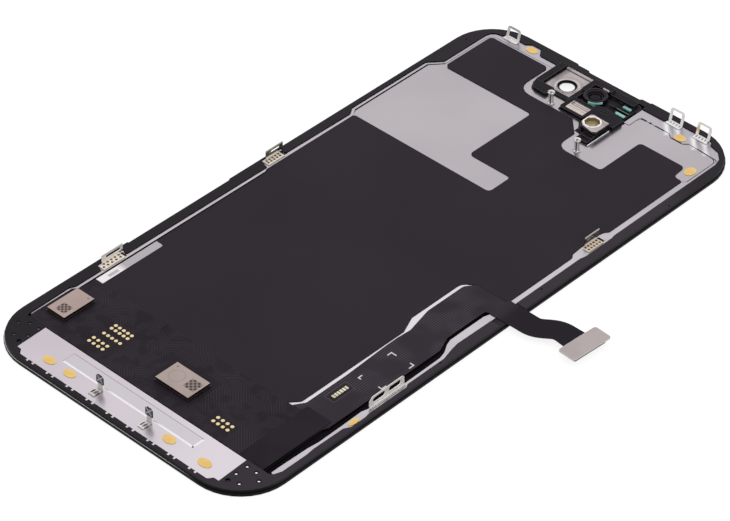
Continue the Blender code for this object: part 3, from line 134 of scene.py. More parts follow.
def ramp(tree, value, low, high):
    """0 at low, 1 at high, and smooth between."""
    node = add(tree, "ShaderNodeMapRange", {"interpolation_type": "SMOOTHSTEP"},
               Value=value, i1=low, i2=high)
    return node.outputs[0]


def stripes(tree, value, pitch, low, high):
    """Even stripes along a value, soft between low and high of a sine."""
    wave = maths(tree, "SINE", maths(tree, "MULTIPLY", value, 2 * math.pi / pitch))
    return ramp(tree, wave, low, high)


def place(tree):
    return add(tree, "ShaderNodeTexCoord").outputs["Object"]


def axes(tree):
    """The point's x, y and z in millimetres."""
    in_mm = vectors(tree, "DIVIDE", place(tree), (mm, mm, mm))
    return tuple(add(tree, "ShaderNodeSeparateXYZ", Vector=in_mm).outputs)


print("node helpers are ready")

# %% [markdown]
# ## Masks and colours
# A mask is a number from 0 to 1 over the surface. Masks are joined by simple sums: the product
# of two is where both are, and the larger of two is where either is.
#
# A shader wants linear values, but a colour is easier to judge as it looks on a screen. One
# helper turns a screen colour into linear values, and another lays coats of colour over each
# other, each through its own mask, in the order in which paint and light would lie.

# %% Sums of masks
def part_of(tree, mask, share):
    return maths(tree, "MULTIPLY", mask, share)


def rest_of(tree, mask):
    return maths(tree, "SUBTRACT", 1.0, mask)


def either(tree, first, *others):
    for other in others:
        first = maths(tree, "MAXIMUM", first, other)
    return first


def both(tree, first, *others):
    for other in others:
        first = maths(tree, "MULTIPLY", first, other)
    return first


print("masks can be joined")

# %% Colours
def seen(code):
    """Linear values of a colour that is written as it looks on a screen."""
    parts = [int(code[i:i + 2], 16) / 255 for i in (0, 2, 4)]
    linear = [part / 12.92 if part <= 0.04045 else ((part + 0.055) / 1.055) ** 2.4
              for part in parts]
    return (*linear, 1)


def blended(tree, amount, first, second):
    mix = add(tree, "ShaderNodeMix", {"data_type": "RGBA"}, i0=amount, i6=first, i7=second)
    return mix.outputs[2]


def coated(tree, colour, *coats):
    """A colour under coats. Each has a mask, a screen colour and, where it is thin, its strength."""
    for mask, code, *strength in coats:
        amount = part_of(tree, mask, *strength) if strength else mask
        colour = blended(tree, amount, colour, seen(code))
    return colour


print("mid grey in linear values:", round(seen("808080")[0], 3))

# %% A material with its plain values set
COAT_ROUGHNESS = 0.1


def finish(name, code, roughness, metallic=0.0, specular=0.5, coat=0.0):
    """A new material with the plain values of its shader, ready for its colour to be linked."""
    made = bpy.data.materials.new(name)
    made.use_nodes = True
    shader = made.node_tree.nodes["Principled BSDF"]
    shader.inputs["Base Color"].default_value = seen(code)
    shader.inputs["Roughness"].default_value = roughness
    shader.inputs["Metallic"].default_value = metallic
    shader.inputs["Specular IOR Level"].default_value = specular
    shader.inputs["Coat Weight"].default_value = coat
    shader.inputs["Coat Roughness"].default_value = COAT_ROUGHNESS
    made.diffuse_color = seen(code)
    return made, made.node_tree, shader


def dress(material, *names):
    """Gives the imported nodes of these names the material, in every slot."""
    for name in names:
        node = nodes[name]
        if not node.material_slots:
            node.data.materials.append(material)
        for slot in node.material_slots:
            slot.link = "OBJECT"
            slot.material = material
    print(material.name, "on", ", ".join(names))


print("materials can be made and put on")

# %% [markdown]
# ## Grain and tone, shared by many finishes
# No real surface is one flat colour. Sheet steel has a fine blasted grain, moulded plastic has
# a satin grain, and laminates have slow changes of tone. The nodes for this could be repeated in
# every material, but a node group holds them once: one group gives a fine grain with its
# height, the other a slow drift between two colours.

# %% A new node group with its sockets
def new_group(name, inputs, outputs):
    group = bpy.data.node_groups.new(name, "ShaderNodeTree")
    for label, kind, value in inputs:
        socket = group.interface.new_socket(label, in_out="INPUT", socket_type=kind)
        if value is not None:
            socket.default_value = value
    for label, kind in outputs:
        group.interface.new_socket(label, in_out="OUTPUT", socket_type=kind)
    source = group.nodes.new("NodeGroupInput").outputs
    sink = group.nodes.new("NodeGroupOutput").inputs
    return group, source, sink


print("groups can be made")

# %% The grain group
grain, source, sink = new_group(
    "grain",
    [("Colour", "NodeSocketColor", None), ("Scale", "NodeSocketFloat", 9000),
     ("Spread", "NodeSocketFloat", 0.1)],
    [("Colour", "NodeSocketColor"), ("Height", "NodeSocketFloat")],
)
speckle = add(grain, "ShaderNodeTexNoise", Vector=place(grain), Scale=source["Scale"],
              Detail=4.0, Roughness=0.6)
shift = maths(grain, "SUBTRACT", speckle.outputs[0], 0.5)
gain = maths(grain, "ADD", maths(grain, "MULTIPLY", shift, source["Spread"]), 1.0)
grain.links.new(add(grain, "ShaderNodeVectorMath", {"operation": "SCALE"},
                    i0=source["Colour"], Scale=gain).outputs[0], sink["Colour"])
grain.links.new(speckle.outputs[0], sink["Height"])
print(grain.name, "has", len(grain.nodes), "nodes")

# %% The tone group
tone, source, sink = new_group(
    "slow_tone",
    [("Colour", "NodeSocketColor", None), ("Other", "NodeSocketColor", None),
     ("Scale", "NodeSocketFloat", 60)],
    [("Colour", "NodeSocketColor")],
)
drift = add(tone, "ShaderNodeTexNoise", Vector=place(tone), Scale=source["Scale"],
            Detail=2.0, Roughness=0.5)
mixed = blended(tone, ramp(tone, drift.outputs[0], 0.35, 0.65), source["Colour"], source["Other"])
tone.links.new(mixed, sink["Colour"])
print(tone.name, "has", len(tone.nodes), "nodes")

# %% Grain and tone in a material
GRAIN_DEPTH = 0.02


def grained(tree, shader, colour, scale, spread, bump):
    """The grain group on the shader's colour, with its height as bump."""
    node = add(tree, "ShaderNodeGroup", {"node_tree": grain}, Colour=colour, Scale=scale, Spread=spread)
    tree.links.new(node.outputs["Colour"], shader.inputs["Base Color"])
    raised = add(tree, "ShaderNodeBump", Strength=bump, Distance=GRAIN_DEPTH * mm,
                 Height=node.outputs["Height"])
    tree.links.new(raised.outputs[0], shader.inputs["Normal"])


def toned(tree, code, other, scale):
    """A colour that drifts slowly to another over the surface."""
    node = add(tree, "ShaderNodeGroup", {"node_tree": tone}, Colour=seen(code), Other=seen(other),
               Scale=scale)
    return node.outputs["Colour"]


print("groups:", [group.name for group in bpy.data.node_groups])

# %% [markdown]
# ## Masks by place
# Many details are flat: a printed line, a pressed outline, a rubbed spot. Each could be a thin
# mesh of its own, but a mask in the material keeps the surface whole and has no edge that
# flickers. One group gives a soft-edged rectangle at any angle, another the distance from an
# upright axis, from which rings and round spots follow.

# %% The patch group
patch_group, source, sink = new_group(
    "patch",
    [("Centre", "NodeSocketVector", None), ("Half", "NodeSocketVector", None),
     ("Turn", "NodeSocketFloat", 0.0), ("Soft", "NodeSocketFloat", 0.0001)],
    [("Mask", "NodeSocketFloat")],
)
away = vectors(patch_group, "SUBTRACT", place(patch_group), source["Centre"])
back = add(patch_group, "ShaderNodeVectorRotate", {"rotation_type": "Z_AXIS", "invert": True},
           Vector=away, Angle=source["Turn"]).outputs[0]
inside = vectors(patch_group, "SUBTRACT", source["Half"], vectors(patch_group, "ABSOLUTE", back))
sides = add(patch_group, "ShaderNodeSeparateXYZ", Vector=inside).outputs
nearest = maths(patch_group, "MINIMUM", sides[0], sides[1])
within = ramp(patch_group, maths(patch_group, "DIVIDE", nearest, source["Soft"]), -0.5, 0.5)
patch_group.links.new(within, sink["Mask"])
print(patch_group.name, "has", len(patch_group.nodes), "nodes")

# %% The group for the distance from an upright axis
axis_group, source, sink = new_group(
    "from_axis", [("Centre", "NodeSocketVector", None), ("Radii", "NodeSocketVector", None)],
    [("Distance", "NodeSocketFloat")],
)
away = vectors(axis_group, "SUBTRACT", place(axis_group), source["Centre"])
share = vectors(axis_group, "DIVIDE", away, source["Radii"])
flat = vectors(axis_group, "MULTIPLY", share, (1, 1, 0))
length = add(axis_group, "ShaderNodeVectorMath", {"operation": "LENGTH"}, i0=flat).outputs["Value"]
axis_group.links.new(length, sink["Distance"])
print(axis_group.name, "has", len(axis_group.nodes), "nodes")

# %% Rectangles, discs and bands
def patch(tree, x, y, half_x, half_y, turn=0.0, soft=0.1):
    """1 inside a rectangle in millimetres, seen from above, and 0 outside it."""
    node = add(tree, "ShaderNodeGroup", {"node_tree": patch_group}, Centre=Vector((x, y, 0)) * mm,
               Half=Vector((half_x, half_y, 0)) * mm, Turn=turn, Soft=soft * mm)
    return node.outputs["Mask"]


def box_patch(tree, x0, x1, y0, y1, soft=0.1):
    """A rectangle again, given by its sides."""
    return patch(tree, (x0 + x1) / 2, (y0 + y1) / 2, (x1 - x0) / 2, (y1 - y0) / 2, 0.0, soft)


def distance(tree, x, y, across=1.0, along=1.0):
    """How many millimetres a point is from an upright axis, or shares of an ellipse's radii."""
    node = add(tree, "ShaderNodeGroup", {"node_tree": axis_group}, Centre=Vector((x, y, 0)) * mm,
               Radii=Vector((across, along, 1 / mm)) * mm)
    return node.outputs["Distance"]


def disc(tree, x, y, radius, soft=0.08):
    """1 inside an upright round in millimetres, seen from above."""
    return ramp(tree, distance(tree, x, y), radius + soft / 2, radius - soft / 2)


def band(tree, value, centre, half, soft=0.08):
    """1 where the value is within half of the centre, with soft ends."""
    off = maths(tree, "ABSOLUTE", maths(tree, "SUBTRACT", value, centre))
    return ramp(tree, off, half + soft / 2, half - soft / 2)


print("masks:", patch_group.name, axis_group.name)

# %% [markdown]
# ## Edges and corners
# A moulded or stamped edge is a tiny round that catches the light, and an inside corner is
# dark because little light gets in. Real bevels on every solid would cost many faces. The Bevel
# node gives the normal that a rounded edge would have, and how far it leans from the true normal
# marks the edge. The Ambient Occlusion node says how open a point is. Both look at the shape
# only, never at the camera. The finishes below use the first to paint a highlight along edges,
# and the second to paint shade into corners and wells.

# %% Edge and openness masks
EDGE_START, EDGE_FULL = 0.99, 0.9
OPEN, CLOSED = 1.0, 0.2


def edge_highlight(tree, reach):
    """A mask for a painted highlight: 1 along edges, as wide as a round of this reach in millimetres."""
    rounded = add(tree, "ShaderNodeBevel", {"samples": 6}, Radius=reach * mm).outputs[0]
    true = add(tree, "ShaderNodeNewGeometry").outputs["True Normal"]
    match = add(tree, "ShaderNodeVectorMath", {"operation": "DOT_PRODUCT"}, i0=rounded, i1=true)
    return ramp(tree, match.outputs["Value"], EDGE_START, EDGE_FULL)


def corner_shade(tree, reach, share):
    """A mask for painted shade: 0 in the open, and towards the share in corners and wells."""
    openness = add(tree, "ShaderNodeAmbientOcclusion", {"samples": 8}, Distance=reach * mm).outputs["AO"]
    return part_of(tree, ramp(tree, openness, OPEN, CLOSED), share)


print("edge and openness masks are ready")

# %% [markdown]
# ## Black plastic
# The moulded frame is nearly black with a satin top, and a painted sheen makes it a little paler
# along its right side. Its outer walls turn away from the light, so they get painted shade, lighter
# on the right side wall. Its top edge is a tiny round that shows as a painted highlight, a thin
# paler line, and its lower corners have small holes with painted shade round their mouths. Each
# face could have a material of its own, but that would leave hard joints in a piece that is moulded
# as one. So the tones, with the painted light and shade, are laid by height and by place in one
# material.

# %% Holes in the frame's lower corners
# The way to the camera over the table, as its shares across and along the module.
EYE_ACROSS, EYE_ALONG = 0.67, -0.74
CORNER_HOLES = [(4.8, 8.6), (7.1, 8.6), (2.9, 7.3), (7.2, 5.9), (4.95, 4.4)]
TOOLING_HOLE = (7.1, 3.65)


def corner_discs(tree, places, radius, forward=0.0):
    """Discs at the same places left and right, measured from the glass's sides and lower edge."""
    found = []
    for side in (-1, 1):
        for in_x, in_y in places:
            found.append(disc(tree, side * (HALF_WIDTH - in_x) + EYE_ACROSS * forward,
                              in_y - HALF_LENGTH + EYE_ALONG * forward, radius))
    return either(tree, *found)


print("holes in each corner:", len(CORNER_HOLES) + 1)

# %% The moulded frame
FRAME_TOP = span("moulded_frame")[1].z
HOLE_RIM, TOOLING_RIM = 0.52, 0.55

plastic, tree, shader = finish("black_plastic", "201C21", 0.42, specular=0.08)
x, y, z = axes(tree)
# Painted shade on the walls below the top, lighter on the right side wall; a painted highlight along the
# top's edge; a painted sheen on the right side of the top; painted shade round the mouths of the corner
# holes.
wall_shade = ramp(tree, z, FRAME_TOP - 0.06, FRAME_TOP - 0.14)
rim_highlight = both(tree, edge_highlight(tree, 0.09), rest_of(tree, wall_shade))
sheen_side = both(tree, ramp(tree, x, 5, 32), ramp(tree, y, 60, 45))
side_wall = both(tree, wall_shade, ramp(tree, x, 31.5, 33.0), ramp(tree, y, -66, -60))
body = coated(
    tree, toned(tree, "211D22", "272328", 50),
    (sheen_side, "383239", 0.9),
    (wall_shade, "0C0B0D"),
    (side_wall, "2A252A"),
    (rim_highlight, "4C494E", 0.6),
    (corner_discs(tree, CORNER_HOLES, HOLE_RIM), "110E12", 0.75),
    (corner_discs(tree, [TOOLING_HOLE], TOOLING_RIM), "060507"),
)
grained(tree, shader, body, 7000, 0.25, 0.2)
dress(plastic, "moulded_frame")

# %% [markdown]
# ## The sensor bay's plastic
# The holder is moulded in one piece, with ribs, wells and small humps. Its edges catch the
# light and its wells and recess lie in shade, so a painted highlight and painted shade both go
# into its colour, with a painted glint and a painted speck of highlight on its higher parts. On
# the floor of its recess lie three fine ribs, and close round the projector's axis it has the
# olive tone of the filter. The cup is a polished dark ring with turned steps, and painted
# highlights lie in arcs on it and on its lens. A painted image could hold all this, but bars and
# arcs that are measured from the solids stay sharp from close by and need no unwrapping.

# %% The camera and sensor holder
FILTER_HOLE = 2.0
FILTER_LEVEL = 1.65
RECESS_LEVEL = 1.7
SHELF_LEVEL = 1.95
RIB_HALF = 0.08
RIBS_FROM_TOP = (7.35, 6.8, 6.25)

holder_plastic, tree, shader = finish("holder_plastic", "100B10", 0.34, specular=0.08)
z = axes(tree)[2]
rim_highlight = part_of(tree, edge_highlight(tree, 0.13), 0.75)
filter_mid = middle("projector_glass")
above_filter = ramp(tree, z, FILTER_LEVEL - 0.05, FILTER_LEVEL + 0.05)
round_filter = both(tree, disc(tree, filter_mid.x, filter_mid.y, FILTER_HOLE, 0.1), above_filter)
in_recess = ramp(tree, z, RECESS_LEVEL + 0.05, RECESS_LEVEL - 0.05)
on_shelf = ramp(tree, z, SHELF_LEVEL - 0.05, SHELF_LEVEL + 0.05)
recess_shade = both(tree, in_recess, box_patch(tree, 5.2, 9.8, TOP - 8.6, TOP - 4.6, 0.1))
ribs = either(tree, *(patch(tree, 7.5, TOP - down, 1.6, RIB_HALF, 0.0, 0.08) for down in RIBS_FROM_TOP))
glint = patch(tree, 0.85, TOP - 4.3, 0.8, 0.3, 0.0, 0.1)
dot = disc(tree, -1.2, TOP - 4.85, 0.16)
# Painted shade in the wells and on the recess floor, a painted highlight on the edges, and a painted glint
# and a painted speck of highlight on the higher parts.
body = coated(
    tree, toned(tree, "120D12", "1A141A", 240),
    (corner_shade(tree, 0.9, 0.8), "040304"),
    (rim_highlight, "78727A"),
    (recess_shade, "060406", 0.85),
    (both(tree, in_recess, ribs), "8E9A92", 0.75),
    (both(tree, either(tree, glint, dot), on_shelf), "D6D3D6", 0.8),
    (round_filter, "8C7E58"),
)
grained(tree, shader, body, 8000, 0.3, 0.3)
dress(holder_plastic, "sensor_holder")

# %% The dark cup and its lens
CUP_HIGHLIGHT_ARCS = (2.32, 1.9, 1.45)
LENS_HIGHLIGHT_ARC = 0.8
cup = middle("infrared_cup")

cup_plastic, tree, shader = finish("cup_plastic", "100B11", 0.25, specular=0.1)
off = distance(tree, cup.x, cup.y)
# The arcs are painted highlights, and the edges get a painted highlight too.
arcs = either(tree, *(band(tree, off, arc, 0.05, 0.06) for arc in CUP_HIGHLIGHT_ARCS))
body = coated(tree, toned(tree, "100B11", "181119", 300), (arcs, "574B55", 0.6),
              (edge_highlight(tree, 0.1), "5E5660", 0.5))
grained(tree, shader, body, 6000, 0.2, 0.1)
dress(cup_plastic, "infrared_cup")

cup_lens, tree, shader = finish("dark_lens", "0F0B10", 0.25, specular=0.08)
# A painted highlight in an arc on the lens.
arc = band(tree, distance(tree, cup.x, cup.y), LENS_HIGHLIGHT_ARC, 0.05)
body = coated(tree, toned(tree, "0F0B10", "170F18", 500), (arc, "3A3040", 0.5))
grained(tree, shader, body, 3000, 0.1, 0.03)
dress(cup_lens, "infrared_lens")

# %% [markdown]
# ## Graphite film, tape and printed corner marks
# The film is a warm matte black that spreads heat, and the tape is a thin satin strip over the
# flex. Four white corner marks are printed where film and flex meet, beside the window bracket,
# so both share one list of them. Each mark is two short bars that meet in a corner. They are laid
# as masks, because ink has no height to model.

# %% The corner marks
MARK_WIDTH = 0.13
CORNER_MARKS = [
    (24.72, -22.71, 1.28, -1.1),
    (30.15, -22.49, -0.93, -1.28),
    (30.43, -31.5, -0.9, 1.2),
    (25.2, -32.2, 0.63, 1.0),
]


def corner_mark(tree, x, y, across, along):
    """Two bars from a corner, with their lengths across and along given with their signs."""
    width = math.copysign(MARK_WIDTH, across), math.copysign(MARK_WIDTH, along)
    flat_bar = box_patch(tree, *sorted((x - width[0], x + across)), y - MARK_WIDTH, y + MARK_WIDTH, 0.06)
    tall_bar = box_patch(tree, x - MARK_WIDTH, x + MARK_WIDTH, *sorted((y - width[1], y + along)), 0.06)
    return either(tree, flat_bar, tall_bar)


print("corner marks:", len(CORNER_MARKS))

# %% Graphite film and tape
graphite, tree, shader = finish("graphite_film", "2D252E", 0.6, specular=0.08)
marks = either(tree, *(corner_mark(tree, *mark) for mark in CORNER_MARKS))
body = coated(tree, toned(tree, "2D252E", "302831", 35), (marks, "CFCBD0"))
grained(tree, shader, body, 5000, 0.16, 0.2)
dress(graphite, "graphite_film")

tape, tree, shader = finish("fold_tape", "241E25", 0.5, specular=0.05)
grained(tree, shader, toned(tree, "241E25", "2A242B", 120), 6000, 0.15, 0.2)
dress(tape, "fold_tape")

# %% [markdown]
# ## Sheet steel
# The plate and the rails are thin stamped steel, so a satin metal carries the light of the room
# as one pale tone, and their cut edges get a painted highlight. Where a rail meets the plate the
# joint is a thin dark line that is thicker at its weld points. It crosses both solids, so one recipe
# draws it in both materials. The tall hoops show as soft bright reflections on the steel in front
# of them. A polished metal would mirror them from every side, but at this size a painted
# reflection that fades out is steadier and free of noise.

# %% The joint and the painted reflections, for the plate and the rails
SEAM = [
    (9.75, 9.2), (11.1, 9.2), (11.1, 5.65), (18.8, 5.65), (19.9, 6.6), (22.9, 6.6), (23.9, 5.65),
    (31.4, 6.2), (31.4, 15.7),
]
SEAM_HALF = 0.1
SEAM_OVERLAP = 0.05
SEAM_WELDS = [
    (13.8, TOP - 5.6, 0.25, 0.28, 0.0),
    (12.1, TOP - 5.65, 0.7, 0.25, 0.0),
    (16.2, TOP - 5.65, 1.2, 0.2, 0.0),
    (21.3, TOP - 6.5, 1.35, 0.18, 0.0),
    (23.4, TOP - 6.1, 0.6, 0.16, 0.76),
    (27.5, TOP - 5.85, 1.55, 0.14, -0.07),
    (30.2, TOP - 6.05, 1.0, 0.13, -0.07),
]
LEG_INSET = 0.3
REFLECTION_REACH = 1.9
REFLECTION_HALF = 0.42
REFLECTION_SOFT = 1.3


def seam(tree):
    """The joint in straight runs, from corners given by x and the distance from the top."""
    runs = []
    for (x0, y0), (x1, y1) in zip(SEAM, SEAM[1:]):
        y0, y1 = TOP - y0, TOP - y1
        half = math.hypot(x1 - x0, y1 - y0) / 2 + SEAM_OVERLAP
        slope = math.atan2(y1 - y0, x1 - x0)
        runs.append(patch(tree, (x0 + x1) / 2, (y0 + y1) / 2, half, SEAM_HALF, slope, 0.1))
    runs = part_of(tree, either(tree, *runs), 0.6)
    return either(tree, runs, *(patch(tree, *weld, 0.12) for weld in SEAM_WELDS))


def hoop_reflections(tree):
    """Painted reflections, soft and bright, in front of the legs of the two right hoops."""
    found = []
    for name in ("hoop_clip_middle", "hoop_clip_right"):
        low, high = span(name)
        for leg in (low.x + LEG_INSET, high.x - LEG_INSET):
            found.append(patch(tree, leg + EYE_ACROSS * REFLECTION_REACH, low.y + EYE_ALONG * REFLECTION_REACH,
                               REFLECTION_REACH, REFLECTION_HALF, math.atan2(EYE_ALONG, EYE_ACROSS), REFLECTION_SOFT))
    return either(tree, *found)


print("runs of the joint:", len(SEAM) - 1, "welds:", len(SEAM_WELDS))

# %% The back plate
POSTS = middle("standoff_post_left"), middle("standoff_post_right")
POST_WELDS = ((0.95, 0.0), (-0.2, 0.95), (-0.7, -0.7))
HALO, WELD_POINT = 0.75, 0.16
FLANGE_LEVEL = 1.35

steel, tree, shader = finish("plate_steel", "ACA6AB", 0.3, metallic=1.0)
z = axes(tree)[2]
above_plate = ramp(tree, z, FLANGE_LEVEL - 0.05, FLANGE_LEVEL + 0.05)
flange_highlight = both(tree, box_patch(tree, 9.3, 9.9, TOP - 20.7, TOP - 13.7, 0.05), above_plate)
flange_shade = box_patch(tree, 9.75, 10.8, TOP - 20.4, TOP - 14.0, 0.7)
halos = either(tree, *(band(tree, distance(tree, post.x, post.y), HALO, 0.06, 0.1) for post in POSTS))
weld_points = either(tree, *(disc(tree, post.x + across, post.y + along, WELD_POINT)
                             for post in POSTS for across, along in POST_WELDS))
by_flex = box_patch(tree, 12, 27, -50, 3, 0.5)
by_clip = patch(tree, -29.7, -43.2, 1.6, 3.2, 0.0, 2.2)
# A greyer patch lies inside the bright one by the low left clip.
in_clip_grey = patch(tree, -29.46, -42.4, 0.4, 1.3, 0.0, 0.3)
tape_gap_shadow = box_patch(tree, 29.6, 32, -64, -46, 0.3)
# Painted shade beside the flange, a painted shadow in the gap by the tape, a painted highlight on the edges
# and on the flange's top, and the painted reflections of the hoops.
body = coated(
    tree, toned(tree, "ADA7AC", "A8A2A7", 45),
    (flange_shade, "5B575C", 0.8),
    (halos, "6E6A70", 0.5),
    (weld_points, "77737A", 0.7),
    (edge_highlight(tree, 0.06), "F0EEF1", 0.6),
    (hoop_reflections(tree), "FFFFFF", 0.65),
    (seam(tree), "1E1C1F", 0.95),
    (by_flex, "D9D4DA", 0.8),
    (by_clip, "EFE9EA", 0.8),
    (in_clip_grey, "A29C9F", 0.8),
    (tape_gap_shadow, "1B181C"),
    (flange_highlight, "FFFFFF"),
)
grained(tree, shader, body, 6000, 0.07, 0.1)
tree.links.new(rest_of(tree, flange_highlight), shader.inputs["Metallic"])
dress(steel, "back_plate")

# %% The rails
RAIL_SPOTS = [(31.7, 31.2, 0.12), (32.1, 31.8, 0.12), (31.0, 57.6, 0.14), (30.6, 56.6, 0.12)]

rail_steel, tree, shader = finish("rail_steel", "B8B3BA", 0.3, metallic=1.0)
y = axes(tree)[1]
specks = either(tree, *(disc(tree, *spot) for spot in RAIL_SPOTS))
flare = patch(tree, 30.1, 3.8, 0.5, 0.1, 0.5, 0.1)
under_feet = []
for name in ("side_clip_left", "side_clip_low_left", "side_clip_right"):
    low, high = span(name)
    under_feet.append(box_patch(tree, low.x + 0.3, high.x - 0.2, low.y + 0.3, high.y - 0.3, 0.1))
lower, upper = toned(tree, "BCB7BC", "B4AFB4", 60), toned(tree, "AEA8B0", "A8A2AA", 60)
# A painted highlight on the edges and the painted reflections of the hoops.
body = coated(
    tree, blended(tree, ramp(tree, y, 20, 60), lower, upper),
    (specks, "5F5B60", 0.8),
    (flare, "F4F2F4", 0.8),
    (either(tree, *under_feet), "2E2116"),
    (edge_highlight(tree, 0.06), "F0EEF1", 0.6),
    (hoop_reflections(tree), "FFFFFF", 0.65),
    (seam(tree), "1E1C1F", 0.95),
)
grained(tree, shader, body, 6000, 0.08, 0.1)
dress(rail_steel, "edge_rail_left", "edge_rail_right")

# %% [markdown]
# ## The bottom plate
# The plate grows a little brighter towards its right end. Its raised panel is pressed up by a
# fifth of a millimetre, too little to read by light alone, so its folds get a painted highlight and
# painted shade: the near and right ones bright, the far and left ones dark. The plate's wings lie
# under the frame's corner holes. Each hole shows a well of painted shade with a painted highlight
# of steel at its bottom, which also glows a little, because hardly any light gets down there.

# %% The bottom plate
RAISED = (-17.35, 16.75, -66.8, -64.0)
PANEL_LEVEL = 1.46
WELL, TOOLING_WELL, WELL_LIGHT = 0.5, 0.6, 0.32
LIGHT_FORWARD = 0.1

bottom_steel, tree, shader = finish("bottom_steel", "CCC4CB", 0.32, metallic=1.0)
x, y, z = axes(tree)
left, right = toned(tree, "C6BDC5", "C1B8C0", 55), toned(tree, "D1C9D0", "CCC4CB", 55)
on_panel = ramp(tree, z, PANEL_LEVEL - 0.02, PANEL_LEVEL + 0.02)
near_fold = box_patch(tree, RAISED[0], RAISED[1], RAISED[2] - 0.16, RAISED[2] + 0.12, 0.1)
right_fold = box_patch(tree, RAISED[1] - 0.1, RAISED[1] + 0.16, RAISED[2], RAISED[3], 0.1)
far_fold = box_patch(tree, RAISED[0], RAISED[1], RAISED[3] - 0.08, RAISED[3] + 0.14, 0.08)
left_fold = box_patch(tree, RAISED[0] - 0.12, RAISED[0] + 0.05, RAISED[2], RAISED[3], 0.08)
well_shade = either(tree, corner_discs(tree, CORNER_HOLES, WELL),
               corner_discs(tree, [TOOLING_HOLE], TOOLING_WELL))
lit = both(tree, corner_discs(tree, CORNER_HOLES, WELL_LIGHT, LIGHT_FORWARD), ramp(tree, x, -42, 0))
# Painted highlight and shade on the panel's folds, painted shade in the wells, and a painted highlight at
# their bottoms, which also glows.
body = coated(
    tree, blended(tree, ramp(tree, x, -30, 30), left, right),
    (on_panel, "C2BDC3", 0.8),
    (either(tree, far_fold, left_fold), "6A646A", 0.9),
    (either(tree, near_fold, right_fold), "FBF9FB", 0.85),
    (disc(tree, RAISED[1], RAISED[2], 0.2), "6B666B"),
    (edge_highlight(tree, 0.06), "F0EEF1", 0.5),
    (well_shade, "040304"),
    (lit, "FFFFFF"),
)
glow = blended(tree, ramp(tree, x, -5, 5), seen("9A969C"), seen("FFFFFF"))
tree.links.new(blended(tree, lit, seen("000000"), glow), shader.inputs["Emission Color"])
shader.inputs["Emission Strength"].default_value = 0.9
tree.links.new(rest_of(tree, well_shade), shader.inputs["Metallic"])
grained(tree, shader, body, 6000, 0.06, 0.1)
dress(bottom_steel, "bottom_plate")

# %% [markdown]
# ## Clips, hoops, springs and bracket
# These are stamped from bright strip. One recipe serves them all: a bright metal with painted
# shade in its corners and a painted highlight on its edges, with the marks of each part laid
# over it. Thin upright steel mirrors the dark film from one side and the white room from the
# other. A true mirror would turn half of them black, so the strip is only partly metallic and
# keeps its pale tone.

# %% A recipe for bright strip
def bright_strip(name, code, other, metallic, shade, roughness=0.22, reach=0.5):
    made, tree, shader = finish(name, code, roughness, metallic=metallic)
    # Painted shade in corners, then a painted highlight on edges.
    body = coated(tree, toned(tree, code, other, 400), (corner_shade(tree, reach, shade), "2A2829"))
    body = coated(tree, body, (edge_highlight(tree, 0.06), "FAF8F6", 0.6))
    return made, tree, shader, body


def grain_and_dress(made, tree, shader, body, *names):
    grained(tree, shader, body, 7000, 0.08, 0.08)
    dress(made, *names)


print("bright strip is ready")

# %% The hoops
FOOT_TOP = span("hoop_clip_left")[0].z + 0.25
CROWN = span("hoop_clip_left")[1].z
WELDS_PER_MM = 1.35

made, tree, shader, body = bright_strip("hoop_left_steel", "F4F2F1", "E6E3E2", metallic=0.1, shade=0.3)
z = axes(tree)[2]
body = coated(tree, body, (ramp(tree, z, CROWN - 0.35, CROWN - 0.1), "8A8685", 0.7))
grain_and_dress(made, tree, shader, body, "hoop_clip_left")

made, tree, shader, body = bright_strip("hoop_steel", "FFFFFF", "FBFAF9", metallic=0.0, shade=0.15)
x, y, z = axes(tree)
right_low, right_high = span("hoop_clip_right")
foot = ramp(tree, z, FOOT_TOP + 0.05, FOOT_TOP - 0.05)
welds = band(tree, maths(tree, "FRACT", maths(tree, "MULTIPLY", x, WELDS_PER_MM)), 0.5, 0.2, 0.15)
welds = both(tree, welds, foot, band(tree, y, right_low.y + 0.75, 0.28, 0.2))
gold_leg = both(tree, box_patch(tree, right_low.x - 0.1, right_low.x + 0.7, right_low.y, right_high.y, 0.1),
                band(tree, z, right_low.z + 1.6, 0.6, 0.5))
body = coated(tree, body, (welds, "5E5650", 0.75), (gold_leg, "F3C27E", 0.8))
grain_and_dress(made, tree, shader, body, "hoop_clip_middle", "hoop_clip_right")

# %% The side clips
# Each clip has the colours of its tab, foot and slot, its foot's length, and its rows of weld
# holes, as the distance from the foot's left side, the shift along it and the pitch. The tab's
# colour is a painted reflection, dark on the left and right clips and pale on the low left one.
SIDE_CLIPS = {
    "side_clip_left": ("4A4744", "F1E2D0", "B9B4AE", 4.5, ((0.85, 0.0, 0.83), (1.5, -0.1, 0.83))),
    "side_clip_low_left": ("F2EDE8", "F6EADB", "2A2827", 5.6, ((0.6, 0.3, 0.98), (1.3, -0.1, 1.1))),
    "side_clip_right": ("2F2C2C", "E6D3BC", "B9B4AE", 4.3, ((0.75, 0.0, 0.8), (1.6, 0.05, 0.8))),
}
HOLES_IN_ROW = 5
WELD_HOLE = 0.27
SLOT_HALF_LENGTH, SLOT_HALF_HEIGHT = 0.9, 0.16

